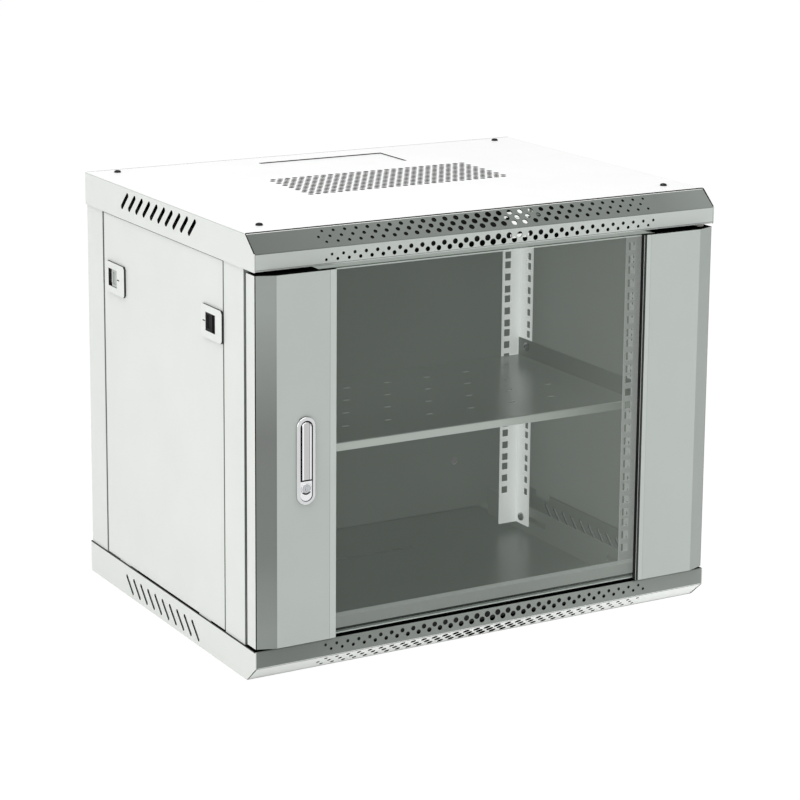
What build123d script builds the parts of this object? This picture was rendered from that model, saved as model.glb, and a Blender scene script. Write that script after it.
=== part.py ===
from build123d import *
import os

os.makedirs("parts", exist_ok=True)

# Overall size: the width over the side flanges, the depth from the wall to the front strip of
# the fascias, and the height over the two covers
cabinet_width = 600.0
cabinet_depth = 450.0
cabinet_height = 500.0

# Rack pattern of a 19 inch cabinet
rack_units = 9
rack_unit = 44.45
rack_hole_step = 15.875
rack_hole_inset = 7.55
rack_opening = 450.0
rack_hole_side = 9.5

# Sheet thicknesses and the inside radius of the bends
cover_sheet = 1.2
fascia_sheet = 1.2
post_sheet = 1.5
rail_sheet = 2.0
shelf_sheet = 1.2
door_sheet = 1.2
panel_sheet = 1.0
inner_bend = 0.3

# Clearances and the overrun that lets a cutter pass its sheet
fit_gap = 0.3
slip_gap = 0.1
running_gap = 0.05
press_gap = 0.02
overrun = 1.0

# Covers with their side slots and cable entries
flange_height = 39.0
slot_length = 28.0
slot_width = 4.4
slot_count = 10
slot_pitch = 20.2
slot_row_y = 18.0
slot_drop = 16.4
slot_lean = 45.0
cable_entry_width = 172.0
cable_entry_depth = 67.0
cable_entry_inset = 36.0
cable_plate_margin = 9.0
cover_screw_side_inset = 34.0
cover_screw_front_inset = 32.0
cover_screw_rear_inset = 19.0
cover_screw_radius = 2.0
cover_screw_length = 7.0
cover_screw_head_radius = 4.2
cover_screw_head = 2.6

# Fan vent in the top cover
vent_hole = 6.0
vent_pitch = 36.8
vent_row_step = 24.0
vent_columns = 7
vent_rows = 5
vent_centre_y = 21.5

# Fascias above and below the door, with holes that grow from the ends to the middle
fascia_run = 23.0
fascia_slope_height = 19.5
fascia_tuck = 47.0
fascia_rear_lip = 12.0
grille_pitch = 28.0
grille_columns = 16
grille_slope_step = 7.5
grille_strip_start = 7.9
grille_strip_step = 5.4
grille_large_hole = 7.4
grille_small_hole = 2.8
grille_slope_shift_shares = [0, -0.25, 0]
grille_strip_shift_shares = [0.125, -0.125]

# Frame posts and front sills
frame_setback = 5.0
front_post_side = 47.8
rear_post_side = 45.5
post_face = 42.5
corner_plate_width = 38.0
corner_plate_depth = 34.0
sill_rise = 12.0
sill_height = 36.0
sill_depth = 12.0
sill_overlap = 20.0

# Depth rails that carry the mounting rails
depth_rail_sheet = 1.5
depth_rail_height = 36.0
depth_rail_foot = 21.0
depth_rail_end_gap = 1.0
depth_rail_slot_length = 60.0
depth_rail_slot_width = 7.0
depth_rail_slot_end = 3.0

# Mounting rails with their bolts and nuts
rail_face = 28.0
rail_side_flange = 29.4
rail_end_gap = 11.0
front_rail_setback = 67.6
rear_rail_setback = 108.3
rail_side_hole_inset = 7.5
rail_bolt_height = 10.0
rail_bolt_inset = 14.5
rail_bolt_radius = 3.0
rail_bolt_head_radius = 5.5
rail_bolt_head = 4.0
rail_bolt_reach = 1.5
rail_nut_radius = 5.8
rail_nut = 5.0

# Shelf with its screws and cage nuts
shelf_unit = 5
shelf_screw_rise = 14.0
shelf_upstand = 23.0
shelf_lip = 9.5
shelf_front_gap = 12.0
shelf_rear_gap = 0.9
shelf_slot_length = 8.0
shelf_slot_width = 4.0
shelf_slot_pitch = 84.9
shelf_slot_columns = 5
shelf_slot_rows = 4
shelf_slot_row_step = 50.6
shelf_slot_rear_inset = 47.5
shelf_screw_radius = 3.0
shelf_screw_head_radius = 5.4
shelf_screw_head = 3.2
shelf_screw_reach = 2.0
cage_nut_side = 13.0
cage_nut_body = 4.5

# Back panel and its wall holes
back_panel_sheet = 1.2
back_panel_overlap = 28.0
back_panel_end_gap = 3.0
wall_hole_radius = 5.0
wall_hole_spacing_x = 440.0
wall_hole_spacing_z = 360.0

# Door
door_gap = 3.5
door_lock_side_gap = 0.5
door_hinge_side_gap = 2.5
door_stand_off = 8.0
door_return = 21.0
door_lip = 12.0
door_slope_run = 22.0
lock_stile_width = 95.5
hinge_stile_width = 100.5
stile_edge_strip = 9.0
stile_edge_fall = 1.0
glass_flange = 17.0
glass_thickness = 5.0
glass_edge_gap = 1.0
tape_thickness = 0.8
tape_width = 14.0
tape_end_gap = 3.0
end_cap_sheet = 1.2

# Hinge pins, the blocks that hold them and their bushes
hinge_inset_x = 10.5
hinge_inset_y = 11.0
hinge_pin_radius = 3.0
hinge_pin_reach = 2.5
hinge_block_side = 12.0
hinge_block_height = 8.0
bush_radius = 4.5
bush_collar_radius = 5.5
bush_length = 3.0

# Lock on the free stile
lock_inset = 56.6
lock_length = 98.5
lock_width = 23.2
lock_rim = 3.0
lock_body_length = 94.0
lock_body_width = 18.8
lock_body_depth = 11.0
lock_recess_length = 90.5
lock_recess_width = 15.2
lock_floor = 3.0
cylinder_block_height = 22.6
cylinder_block_step = 0.9
key_axis_rise = 14.2
key_plug_radius = 4.25
key_head_radius = 5.0
key_head_step = 0.75
key_sleeve_radius = 6.5
key_sleeve_length = 14.0
key_slot_length = 6.0
key_slot_width = 1.2
key_slot_depth = 3.0
key_drive_side = 5.0
lever_width = 13.8
lever_thickness = 6.0
lever_proud = 0.5
lever_top_gap = 1.45
lever_block_gap = 2.0
lever_edge = 0.8
lever_pin_radius = 1.25
lever_pin_drop = 3.8
lever_pin_length = 18.0
cam_sheet = 2.0
cam_width = 12.0
cam_head = 8.0
cam_crank_start = 7.0
cam_crank_end = 12.0
cam_reach = 31.0
cam_gap = 0.5
cam_screw_radius = 1.5
cam_screw_length = 8.0
cam_screw_head_radius = 4.5
cam_screw_head = 2.6

# Side panels
panel_edge_gap = 1.0
panel_top_gap = 0.6
panel_bottom_gap = 1.2
panel_return = 9.0
panel_tab_width = 30.0
panel_tab_depth = 8.0
panel_tab_spread = 220.0

# Slide latches of the side panels
latch_length = 52.0
latch_height = 37.0
latch_corner = 3.0
latch_rise = 2.5
latch_drop = 75.5
latch_front_inset = 26.0
latch_rear_inset = 39.0
latch_front_shift = 2.4
latch_rear_shift = 7.0
latch_window_length = 24.0
latch_window_height = 21.0
latch_dash_length = 6.0
latch_dash_height = 1.4
latch_dash_depth = 1.0
latch_dash_gap = 4.0
latch_travel = 8.5
latch_wall = 1.8
latch_lip = 3.3
latch_lip_thickness = 1.7
slider_length = 24.0
slider_height = 24.0
slider_thickness = 4.0
pad_length = 15.0
pad_height = 20.4
pad_rise = 1.8
pad_hollow = 1.4
pad_wall = 2.5
tongue_width = 16.0
tongue_step = 1.7

# Sides of the outlines that stand for small round holes, shanks, screw heads and rounded ends
hole_sides = 4
shank_sides = 6
head_sides = 6
round_sides = 16

# Planes and edges that several pieces share
half_width = cabinet_width / 2
back_y = cabinet_depth / 2
front_y = -cabinet_depth / 2
mid_z = cabinet_height / 2
cover_front_y = front_y + fascia_run
inside_x = half_width - cover_sheet
post_x = inside_x - fit_gap
frame_front_y = cover_front_y + frame_setback
frame_back_y = back_y - cover_sheet - fit_gap
post_inner_x = post_x - post_face
rail_outer_x = rack_opening / 2 + rail_face
rack_hole_spacing = rack_opening + 2 * rack_hole_inset
front_rail_y = front_y + front_rail_setback
rear_rail_y = back_y - rear_rail_setback - rail_sheet
shelf_screw_z = mid_z + (shelf_unit - (rack_units + 1) / 2) * rack_unit
cover_screw_spacing = cabinet_width - 2 * cover_screw_side_inset
cover_screw_front_y = cover_front_y + cover_screw_front_inset
cover_screw_rear_y = back_y - cover_screw_rear_inset
door_left_x = -half_width + door_lock_side_gap
door_right_x = half_width - door_hinge_side_gap
door_rear_y = front_y + door_return
door_bottom = flange_height + door_gap
door_top = cabinet_height - door_bottom
door_height = door_top - door_bottom
hinge_x = door_right_x - hinge_inset_x
hinge_y = front_y + hinge_inset_y
lock_x = door_left_x + lock_inset
mirror_z = Plane.XY.offset(mid_z)


# Points of the other face of a folded sheet, which lies on the left of the given ones
def other_face(points, sheet):
    corners = [Vector(*point) for point in points]
    normals = [
        (end - start).normalized().rotate(Axis.Z, 90) for start, end in zip(corners, corners[1:])
    ]
    turns = zip(corners, normals[:1] + normals, normals + normals[-1:])
    return [
        corner + (first + second) * (sheet / (1 + first.dot(second)))
        for corner, first, second in turns
    ]


# Section of a folded sheet with sharp corners, for pieces whose bends stay out of sight
def folded_section(points, sheet):
    with BuildLine() as outline:
        Polyline(*points, *reversed(other_face(points, sheet)), close=True)
    make_face(outline.edges())


# Section of a sheet with rounded bends that all turn towards the sheet
def bent_section(points, sheet):
    inner_points = other_face(points, sheet)
    with BuildLine() as outline:
        FilletPolyline(*points, radius=sheet + inner_bend)
        FilletPolyline(*inner_points, radius=inner_bend)
        Line(points[0], inner_points[0])
        Line(points[-1], inner_points[-1])
    make_face(outline.edges())


# Upright outline with two rounded ends
def obround(centre_x, centre_z, length, width):
    end_shift = (length - width) / 2
    with Locations((centre_x, centre_z)):
        Rectangle(width, 2 * end_shift)
    with Locations((centre_x, centre_z - end_shift), (centre_x, centre_z + end_shift)):
        RegularPolygon(radius=width / 2, side_count=round_sides)


# Top cover and bottom tray are the same pan: a plate, side flanges whose front ends follow the
# fascia, and a rear flange. A level of 1 gives the top one and -1 the bottom one
def cover_pan(level):
    outer_z = mid_z + level * mid_z
    plate_z = outer_z - level * cover_sheet
    edge_z = outer_z - level * flange_height
    nose_z = outer_z - level * fascia_slope_height
    with BuildPart() as pan:
        with BuildSketch(Plane.YZ.offset(-half_width)):
            with BuildLine():
                Polyline(
                    (back_y, edge_z), (back_y, outer_z), (cover_front_y, outer_z),
                    (front_y, nose_z), (front_y, edge_z), close=True,
                )
            make_face()
        extrude(amount=cabinet_width)
        with BuildSketch(Plane.YZ.offset(-inside_x)):
            with BuildLine():
                Polyline(
                    (back_y - cover_sheet, edge_z - level * overrun),
                    (back_y - cover_sheet, plate_z),
                    (front_y - overrun, plate_z),
                    (front_y - overrun, edge_z - level * overrun), close=True,
                )
            make_face()
        extrude(amount=2 * inside_x, mode=Mode.SUBTRACT)
        plate_face = pan.faces().filter_by(Axis.Z).sort_by(Axis.Z)[-1 if level > 0 else 0]
        bends = plate_face.edges().filter_by(Axis.Y)
        bends += plate_face.edges().filter_by(Axis.X).sort_by(Axis.Y)[-1:]
        fillet(bends, radius=cover_sheet + inner_bend)
        with BuildSketch(Plane.YZ.offset(-half_width - overrun)):
            with GridLocations(slot_pitch, 0, slot_count, 1) as slot_spots:
                slot_places = [spot.position for spot in slot_spots.local_locations]
            with Locations(*[
                (slot_row_y + place.X, outer_z - level * slot_drop) for place in slot_places
            ]):
                Rectangle(slot_length, slot_width, rotation=-level * slot_lean)
        extrude(amount=cabinet_width + 2 * overrun, mode=Mode.SUBTRACT)
        with BuildSketch(Plane.XY.offset(outer_z)):
            with Locations((0, back_y - cable_entry_inset - cable_entry_depth / 2)):
                Rectangle(cable_entry_width, cable_entry_depth)
        extrude(amount=-level * cover_sheet, mode=Mode.SUBTRACT)
    return pan.part


with BuildPart() as top_cover:
    add(cover_pan(1))
    with BuildSketch(Plane.XY.offset(cabinet_height)):
        for row in range(vent_rows):
            row_y = vent_centre_y + (row - (vent_rows - 1) / 2) * vent_row_step
            row_x = (row % 2) * vent_pitch / 2 - vent_pitch / 4
            with Locations((row_x, row_y)):
                with GridLocations(vent_pitch, 0, vent_columns, 1):
                    RegularPolygon(radius=vent_hole / 2, side_count=hole_sides)
        with Locations((0, (cover_screw_front_y + cover_screw_rear_y) / 2)):
            with GridLocations(cover_screw_spacing, cover_screw_rear_y - cover_screw_front_y, 2, 2):
                RegularPolygon(radius=cover_screw_radius + slip_gap, side_count=shank_sides)
    extrude(amount=-cover_sheet, mode=Mode.SUBTRACT)

with BuildPart() as bottom_tray:
    add(cover_pan(-1))


# Plates that close the cable entries from inside
with BuildPart() as top_cable_plate:
    with BuildSketch(Plane.XY.offset(cabinet_height - cover_sheet)):
        with Locations((0, back_y - cable_entry_inset - cable_entry_depth / 2)):
            Rectangle(
                cable_entry_width + 2 * cable_plate_margin,
                cable_entry_depth + 2 * cable_plate_margin,
            )
    extrude(amount=-cover_sheet)

with BuildPart() as bottom_cable_plate:
    mirror(top_cable_plate.part, about=mirror_z)


# Top fascia: it tucks under the cover, slopes down to the front strip and turns back to the posts
fascia_x = inside_x - fit_gap
under_cover_z = cabinet_height - cover_sheet
fascia_top_y = cover_front_y - cover_sheet * fascia_run / fascia_slope_height
nose_z = cabinet_height - fascia_slope_height
return_z = cabinet_height - flange_height
slope_plane = Plane(
    origin=(0, (cover_front_y + front_y) / 2, (cabinet_height + nose_z) / 2),
    x_dir=(1, 0, 0), z_dir=(0, -fascia_slope_height, fascia_run),
)
strip_plane = Plane.XZ.offset(-front_y)


# One column of holes, all of one size, that stands at a signed share of the way to the ends
def grille_column(end_share, places):
    large_share = 1 - abs(end_share)
    size = grille_small_hole + large_share * (grille_large_hole - grille_small_hole)
    with Locations(*places):
        RegularPolygon(radius=size / 2, side_count=hole_sides)


with BuildPart() as top_fascia:
    with BuildSketch(Plane.YZ.offset(-fascia_x)):
        folded_section([
            (cover_front_y + fascia_tuck, under_cover_z),
            (fascia_top_y, under_cover_z),
            (front_y, nose_z),
            (front_y, return_z),
            (frame_front_y, return_z),
            (frame_front_y, return_z + fascia_rear_lip),
        ], fascia_sheet)
    extrude(amount=2 * fascia_x)
    middle_column = (grille_columns - 1) / 2
    with BuildSketch(slope_plane):
        for column in range(grille_columns):
            share = (column - middle_column) / middle_column
            grille_column(share, [
                ((column - middle_column + shift) * grille_pitch, (row - 1) * grille_slope_step)
                for row, shift in enumerate(grille_slope_shift_shares)
            ])
    extrude(amount=-fascia_sheet - overrun, mode=Mode.SUBTRACT)
    with BuildSketch(strip_plane):
        for column in range(grille_columns):
            share = (column - middle_column) / middle_column
            grille_column(share, [
                (
                    (column - middle_column + shift) * grille_pitch,
                    nose_z - grille_strip_start - row * grille_strip_step,
                )
                for row, shift in enumerate(grille_strip_shift_shares)
            ])
    extrude(amount=-fascia_sheet - overrun, mode=Mode.SUBTRACT)
    with BuildSketch(Plane.XY.offset(under_cover_z)):
        with Locations((0, cover_screw_front_y)):
            with GridLocations(cover_screw_spacing, 0, 2, 1):
                RegularPolygon(radius=cover_screw_radius + slip_gap, side_count=shank_sides)
    extrude(amount=-fascia_sheet, mode=Mode.SUBTRACT)
    with BuildSketch(Plane.XY.offset(return_z)):
        with Locations((hinge_x, hinge_y)):
            RegularPolygon(radius=bush_radius + press_gap, side_count=round_sides)
    extrude(amount=fascia_sheet, mode=Mode.SUBTRACT)

with BuildPart() as bottom_fascia:
    mirror(top_fascia.part, about=mirror_z)


# Four plates welded on the ends of two posts, which lie flat under the cover and on the tray.
# The upper two take the cover screws
def corner_plates(top_z, middle_y, screw_y):
    plate_x = post_x - corner_plate_width / 2
    with BuildPart() as plates:
        with BuildSketch(Plane.XY.offset(top_z)):
            with Locations((0, middle_y)):
                with GridLocations(2 * plate_x, 0, 2, 1):
                    Rectangle(corner_plate_width, corner_plate_depth)
            with Locations((0, screw_y)):
                with GridLocations(cover_screw_spacing, 0, 2, 1):
                    RegularPolygon(
                        radius=cover_screw_radius + slip_gap, side_count=shank_sides,
                        mode=Mode.SUBTRACT,
                    )
        extrude(amount=-post_sheet)
        with BuildSketch(Plane.XY.offset(cabinet_height - top_z)):
            with Locations((0, middle_y)):
                with GridLocations(2 * plate_x, 0, 2, 1):
                    Rectangle(corner_plate_width, corner_plate_depth)
        extrude(amount=post_sheet)
    return plates.part


# Front posts stand between the tucked flanges of the two fascias
front_plate_top = cabinet_height - cover_sheet - fascia_sheet
front_post_top = front_plate_top - post_sheet
with BuildPart() as front_post_left:
    with BuildSketch(Plane.XY.offset(cabinet_height - front_post_top)):
        folded_section([
            (-post_x, frame_front_y + front_post_side),
            (-post_x, frame_front_y),
            (-post_inner_x, frame_front_y),
        ], post_sheet)
    extrude(amount=2 * front_post_top - cabinet_height)

with BuildPart() as front_post_right:
    mirror(front_post_left.part, about=Plane.YZ)

with BuildPart() as front_corner_plates:
    add(corner_plates(
        front_plate_top, frame_front_y + corner_plate_depth / 2, cover_screw_front_y
    ))

# Rear posts stand between the plates of the covers
rear_plate_top = cabinet_height - cover_sheet
rear_post_top = rear_plate_top - post_sheet
with BuildPart() as rear_post_left:
    with BuildSketch(Plane.XY.offset(cabinet_height - rear_post_top)):
        folded_section([
            (-post_inner_x, frame_back_y),
            (-post_x, frame_back_y),
            (-post_x, frame_back_y - rear_post_side),
        ], post_sheet)
    extrude(amount=2 * rear_post_top - cabinet_height)

with BuildPart() as rear_post_right:
    mirror(rear_post_left.part, about=Plane.YZ)

with BuildPart() as rear_corner_plates:
    add(corner_plates(
        rear_plate_top, frame_back_y - corner_plate_depth / 2, cover_screw_rear_y
    ))


# Sills join the front posts just inside the fascias
sill_front_y = frame_front_y + post_sheet
sill_x = post_inner_x + sill_overlap
sill_top = flange_height + sill_rise
with BuildPart() as bottom_sill:
    with BuildSketch(Plane.YZ.offset(-sill_x)):
        folded_section([
            (sill_front_y + sill_depth, sill_top),
            (sill_front_y, sill_top),
            (sill_front_y, sill_top - sill_height),
        ], post_sheet)
    extrude(amount=2 * sill_x)

with BuildPart() as top_sill:
    mirror(bottom_sill.part, about=mirror_z)


# Back panel lies against the rear faces of the rear posts
panel_back_y = frame_back_y - post_sheet
with BuildPart() as back_panel:
    with BuildSketch(Plane.XZ.offset(-panel_back_y)):
        with Locations((0, mid_z)):
            Rectangle(
                2 * (post_inner_x + back_panel_overlap), cabinet_height - 2 * back_panel_end_gap
            )
            with GridLocations(wall_hole_spacing_x, wall_hole_spacing_z, 2, 2):
                Circle(wall_hole_radius, mode=Mode.SUBTRACT)
    extrude(amount=back_panel_sheet)


# Depth rails run from the front fascia to the plates of the rear posts
depth_rail_front_y = cover_front_y + fascia_tuck + depth_rail_end_gap
depth_rail_back_y = frame_back_y - corner_plate_depth - depth_rail_end_gap
depth_rail_length = depth_rail_back_y - depth_rail_front_y
rail_bolt_z = rail_end_gap + rail_bolt_height
front_bolt_y = front_rail_y + rail_bolt_inset
rear_bolt_y = rear_rail_y + rail_sheet - rail_bolt_inset
with BuildPart() as depth_rail_bottom_left:
    with BuildSketch(Plane.XZ.offset(-depth_rail_back_y)):
        folded_section([
            (-rail_outer_x - depth_rail_foot, cover_sheet),
            (-rail_outer_x, cover_sheet),
            (-rail_outer_x, cover_sheet + depth_rail_height),
        ], depth_rail_sheet)
    extrude(amount=depth_rail_length)
    slot_reach = depth_rail_slot_length / 2 - depth_rail_slot_end - rail_bolt_radius
    with BuildSketch(Plane.YZ.offset(-rail_outer_x + overrun)):
        with Locations(
            (front_bolt_y + slot_reach, rail_bolt_z), (rear_bolt_y - slot_reach, rail_bolt_z)
        ):
            Rectangle(depth_rail_slot_length, depth_rail_slot_width)
    extrude(amount=-depth_rail_sheet - 2 * overrun, mode=Mode.SUBTRACT)

with BuildPart() as depth_rail_bottom_right:
    mirror(depth_rail_bottom_left.part, about=Plane.YZ)

with BuildPart() as depth_rail_top_left:
    mirror(depth_rail_bottom_left.part, about=mirror_z)

with BuildPart() as depth_rail_top_right:
    mirror(depth_rail_top_left.part, about=Plane.YZ)


# Heights of the square holes: three in every rack unit, centred on the cabinet's height
rack_hole_heights = [
    mid_z + (unit - (rack_units - 1) / 2) * rack_unit + place * rack_hole_step
    for unit in range(rack_units) for place in (-1, 0, 1)
]
bolt_heights = [rail_bolt_z, cabinet_height - rail_bolt_z]


# Holes of one left rail: square ones in both flanges and round ones for the two bolts
def rail_holes(face_y, side_hole_y, bolt_y):
    with BuildSketch(Plane.XZ.offset(-face_y + overrun)) as face_holes:
        with Locations(*[(-rack_hole_spacing / 2, height) for height in rack_hole_heights]):
            Rectangle(rack_hole_side, rack_hole_side)
    extrude(face_holes.sketch, amount=-rail_sheet - 2 * overrun, mode=Mode.SUBTRACT)
    with BuildSketch(Plane.YZ.offset(-rail_outer_x - overrun)) as side_holes:
        with Locations(*[(side_hole_y, height) for height in rack_hole_heights[1::3]]):
            Rectangle(rack_hole_side, rack_hole_side)
        with Locations(*[(bolt_y, height) for height in bolt_heights]):
            RegularPolygon(radius=rail_bolt_radius + slip_gap, side_count=shank_sides)
    extrude(side_holes.sketch, amount=rail_sheet + 2 * overrun, mode=Mode.SUBTRACT)


front_side_hole_y = front_rail_y + rail_side_flange - rail_side_hole_inset
with BuildPart() as front_rail_left:
    with BuildSketch(Plane.XY.offset(rail_end_gap)):
        folded_section([
            (-rail_outer_x, front_rail_y + rail_side_flange),
            (-rail_outer_x, front_rail_y),
            (-rack_opening / 2, front_rail_y),
        ], rail_sheet)
    extrude(amount=cabinet_height - 2 * rail_end_gap)
    rail_holes(front_rail_y, front_side_hole_y, front_bolt_y)

with BuildPart() as front_rail_right:
    mirror(front_rail_left.part, about=Plane.YZ)

rear_rail_back_y = rear_rail_y + rail_sheet
rear_side_hole_y = rear_rail_back_y - rail_side_flange + rail_side_hole_inset
with BuildPart() as rear_rail_left:
    with BuildSketch(Plane.XY.offset(rail_end_gap)):
        folded_section([
            (-rack_opening / 2, rear_rail_back_y),
            (-rail_outer_x, rear_rail_back_y),
            (-rail_outer_x, rear_rail_back_y - rail_side_flange),
        ], rail_sheet)
    extrude(amount=cabinet_height - 2 * rail_end_gap)
    rail_holes(rear_rail_y, rear_side_hole_y, rear_bolt_y)

with BuildPart() as rear_rail_right:
    mirror(rear_rail_left.part, about=Plane.YZ)


# Bolts pass from inside through the rails and the slots of the depth rails, each drawn with its
# nut as one piece
bolt_places = [(y, z) for y in (front_bolt_y, rear_bolt_y) for z in bolt_heights]
rail_inner_x = rail_outer_x - rail_sheet
nut_x = rail_outer_x + depth_rail_sheet
with BuildPart() as rail_bolts:
    with BuildSketch(Plane.YZ.offset(rail_inner_x - rail_bolt_head)):
        with Locations(*bolt_places):
            RegularPolygon(radius=rail_bolt_head_radius, side_count=head_sides)
    extrude(amount=rail_bolt_head)
    with BuildSketch(Plane.YZ.offset(rail_inner_x)):
        with Locations(*bolt_places):
            RegularPolygon(radius=rail_bolt_radius, side_count=shank_sides)
    extrude(amount=nut_x + rail_nut + rail_bolt_reach - rail_inner_x)
    with BuildSketch(Plane.YZ.offset(nut_x)):
        with Locations(*bolt_places):
            RegularPolygon(radius=rail_nut_radius, side_count=shank_sides)
    extrude(amount=rail_nut)
    mirror(about=Plane.YZ)


# Shelf: a tray with upturned sides that screw to the rails and a lip along the front
shelf_top_z = shelf_screw_z - shelf_screw_rise
shelf_x = rail_inner_x - fit_gap
shelf_front_y = front_rail_y + rail_sheet + shelf_front_gap
shelf_back_y = rear_rail_y - shelf_rear_gap
shelf_screw_places = [(front_side_hole_y, shelf_screw_z), (rear_side_hole_y, shelf_screw_z)]
with BuildPart() as shelf:
    with BuildSketch(Plane.XZ.offset(-shelf_back_y)):
        folded_section([
            (-shelf_x, shelf_top_z + shelf_upstand),
            (-shelf_x, shelf_top_z - shelf_sheet),
            (shelf_x, shelf_top_z - shelf_sheet),
            (shelf_x, shelf_top_z + shelf_upstand),
        ], shelf_sheet)
    extrude(amount=shelf_back_y - shelf_front_y)
    with BuildSketch(Plane.XZ.offset(-shelf_front_y)):
        with Locations((0, shelf_top_z - shelf_sheet / 2 - shelf_lip / 2)):
            Rectangle(2 * (shelf_x - shelf_sheet), shelf_lip)
    extrude(amount=-shelf_sheet)
    with BuildSketch(Plane.XY.offset(shelf_top_z)):
        for row in range(shelf_slot_rows):
            row_y = shelf_back_y - shelf_slot_rear_inset - row * shelf_slot_row_step
            with Locations((0, row_y)):
                with GridLocations(shelf_slot_pitch, 0, shelf_slot_columns - row % 2, 1):
                    Rectangle(shelf_slot_length, shelf_slot_width)
    extrude(amount=-shelf_sheet, mode=Mode.SUBTRACT)
    with BuildSketch(Plane.YZ.offset(-shelf_x - overrun)):
        with Locations(*shelf_screw_places):
            RegularPolygon(radius=shelf_screw_radius + slip_gap, side_count=shank_sides)
    extrude(amount=2 * shelf_x + 2 * overrun, mode=Mode.SUBTRACT)

shelf_inner_x = shelf_x - shelf_sheet
with BuildPart() as shelf_screws:
    with BuildSketch(Plane.YZ.offset(shelf_inner_x - shelf_screw_head)):
        with Locations(*shelf_screw_places):
            RegularPolygon(radius=shelf_screw_head_radius, side_count=head_sides)
    extrude(amount=shelf_screw_head)
    with BuildSketch(Plane.YZ.offset(shelf_inner_x)):
        with Locations(*shelf_screw_places):
            RegularPolygon(radius=shelf_screw_radius, side_count=shank_sides)
    extrude(amount=rail_outer_x + cage_nut_body + shelf_screw_reach - shelf_inner_x)
    mirror(about=Plane.YZ)

# Cage nuts: a neck fills the square hole and the body lies behind the flange
with BuildPart() as cage_nuts:
    with BuildSketch(Plane.YZ.offset(rail_outer_x)):
        with Locations(*shelf_screw_places):
            Rectangle(cage_nut_side, cage_nut_side)
    extrude(amount=cage_nut_body)
    with BuildSketch(Plane.YZ.offset(rail_outer_x)):
        with Locations(*shelf_screw_places):
            Rectangle(rack_hole_side - 2 * slip_gap, rack_hole_side - 2 * slip_gap)
    extrude(amount=-rail_sheet)
    with BuildSketch(Plane.YZ.offset(rail_inner_x)):
        with Locations(*shelf_screw_places):
            RegularPolygon(radius=shelf_screw_radius + running_gap, side_count=shank_sides)
    extrude(amount=rail_sheet + cage_nut_body, mode=Mode.SUBTRACT)
    mirror(about=Plane.YZ)


# Screws of the top cover
with BuildPart() as cover_screws:
    screw_middle_y = (cover_screw_front_y + cover_screw_rear_y) / 2
    screw_run = cover_screw_rear_y - cover_screw_front_y
    with BuildSketch(Plane.XY.offset(cabinet_height)):
        with Locations((0, screw_middle_y)):
            with GridLocations(cover_screw_spacing, screw_run, 2, 2):
                RegularPolygon(radius=cover_screw_head_radius, side_count=head_sides)
    extrude(amount=cover_screw_head)
    with BuildSketch(Plane.XY.offset(cabinet_height)):
        with Locations((0, screw_middle_y)):
            with GridLocations(cover_screw_spacing, screw_run, 2, 2):
                RegularPolygon(radius=cover_screw_radius, side_count=shank_sides)
    extrude(amount=-cover_screw_length)


# Hinge bushes: a collar carries the door and a body sits in the fascia's flange
with BuildPart() as hinge_bushes:
    with BuildSketch(Plane.XY.offset(return_z)):
        with Locations((hinge_x, hinge_y)):
            RegularPolygon(radius=bush_collar_radius, side_count=round_sides)
    extrude(amount=slip_gap - door_gap)
    with BuildSketch(Plane.XY.offset(return_z)):
        with Locations((hinge_x, hinge_y)):
            RegularPolygon(radius=bush_radius, side_count=round_sides)
    extrude(amount=bush_length)
    with BuildSketch(Plane.XY.offset(door_top)):
        with Locations((hinge_x, hinge_y)):
            Circle(hinge_pin_radius + running_gap)
    extrude(amount=door_gap + bush_length + overrun, mode=Mode.SUBTRACT)
    mirror(about=mirror_z)

with BuildPart() as hinge_pins:
    with BuildSketch(Plane.XY.offset(door_top - hinge_block_height)):
        with Locations((hinge_x, hinge_y)):
            Circle(hinge_pin_radius)
    extrude(amount=hinge_block_height + door_gap + hinge_pin_reach)
    mirror(about=mirror_z)


# Outline of a stile from its rear lip round the front to the flange behind the glass edge.
# The inward sign is 1 for the left stile and -1 for the right one
def stile_points(outer_x, inward, width):
    inner_x = outer_x + inward * width
    front_face_y = front_y - door_stand_off
    return [
        (outer_x + inward * door_lip, door_rear_y),
        (outer_x, door_rear_y),
        (outer_x, front_y),
        (outer_x + inward * door_slope_run, front_face_y),
        (inner_x - inward * stile_edge_strip, front_face_y),
        (inner_x, front_face_y + stile_edge_fall),
        (inner_x, front_y),
        (inner_x - inward * glass_flange, front_y),
    ]


# Plate that closes each end of a stile, clear of its inside faces
def stile_cap(outer_x, inward, width):
    points = stile_points(outer_x, inward, width)
    flange_end_x = points[-1][0]
    with BuildLine() as outline:
        Polyline(*points[1:], (flange_end_x, door_rear_y), close=True)
    make_face(outline.edges())
    offset(amount=-door_sheet - slip_gap, kind=Kind.INTERSECTION)


with BuildPart() as lock_stile:
    with BuildSketch(Plane.XY.offset(door_bottom)):
        bent_section(stile_points(door_left_x, 1, lock_stile_width), door_sheet)
    extrude(amount=door_height)
    with BuildSketch(Plane.XZ.offset(-front_y + door_stand_off + overrun)):
        obround(lock_x, mid_z, lock_body_length + 2 * fit_gap, lock_body_width + 2 * fit_gap)
    extrude(amount=-door_sheet - 2 * overrun, mode=Mode.SUBTRACT)

with BuildPart() as hinge_stile:
    with BuildSketch(Plane.XY.offset(door_bottom)):
        bent_section(list(reversed(stile_points(door_right_x, -1, hinge_stile_width))), door_sheet)
    extrude(amount=door_height)

with BuildPart() as lock_stile_caps:
    with BuildSketch(Plane.XY.offset(door_top)):
        stile_cap(door_left_x, 1, lock_stile_width)
    extrude(amount=-end_cap_sheet)
    mirror(about=mirror_z)

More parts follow.
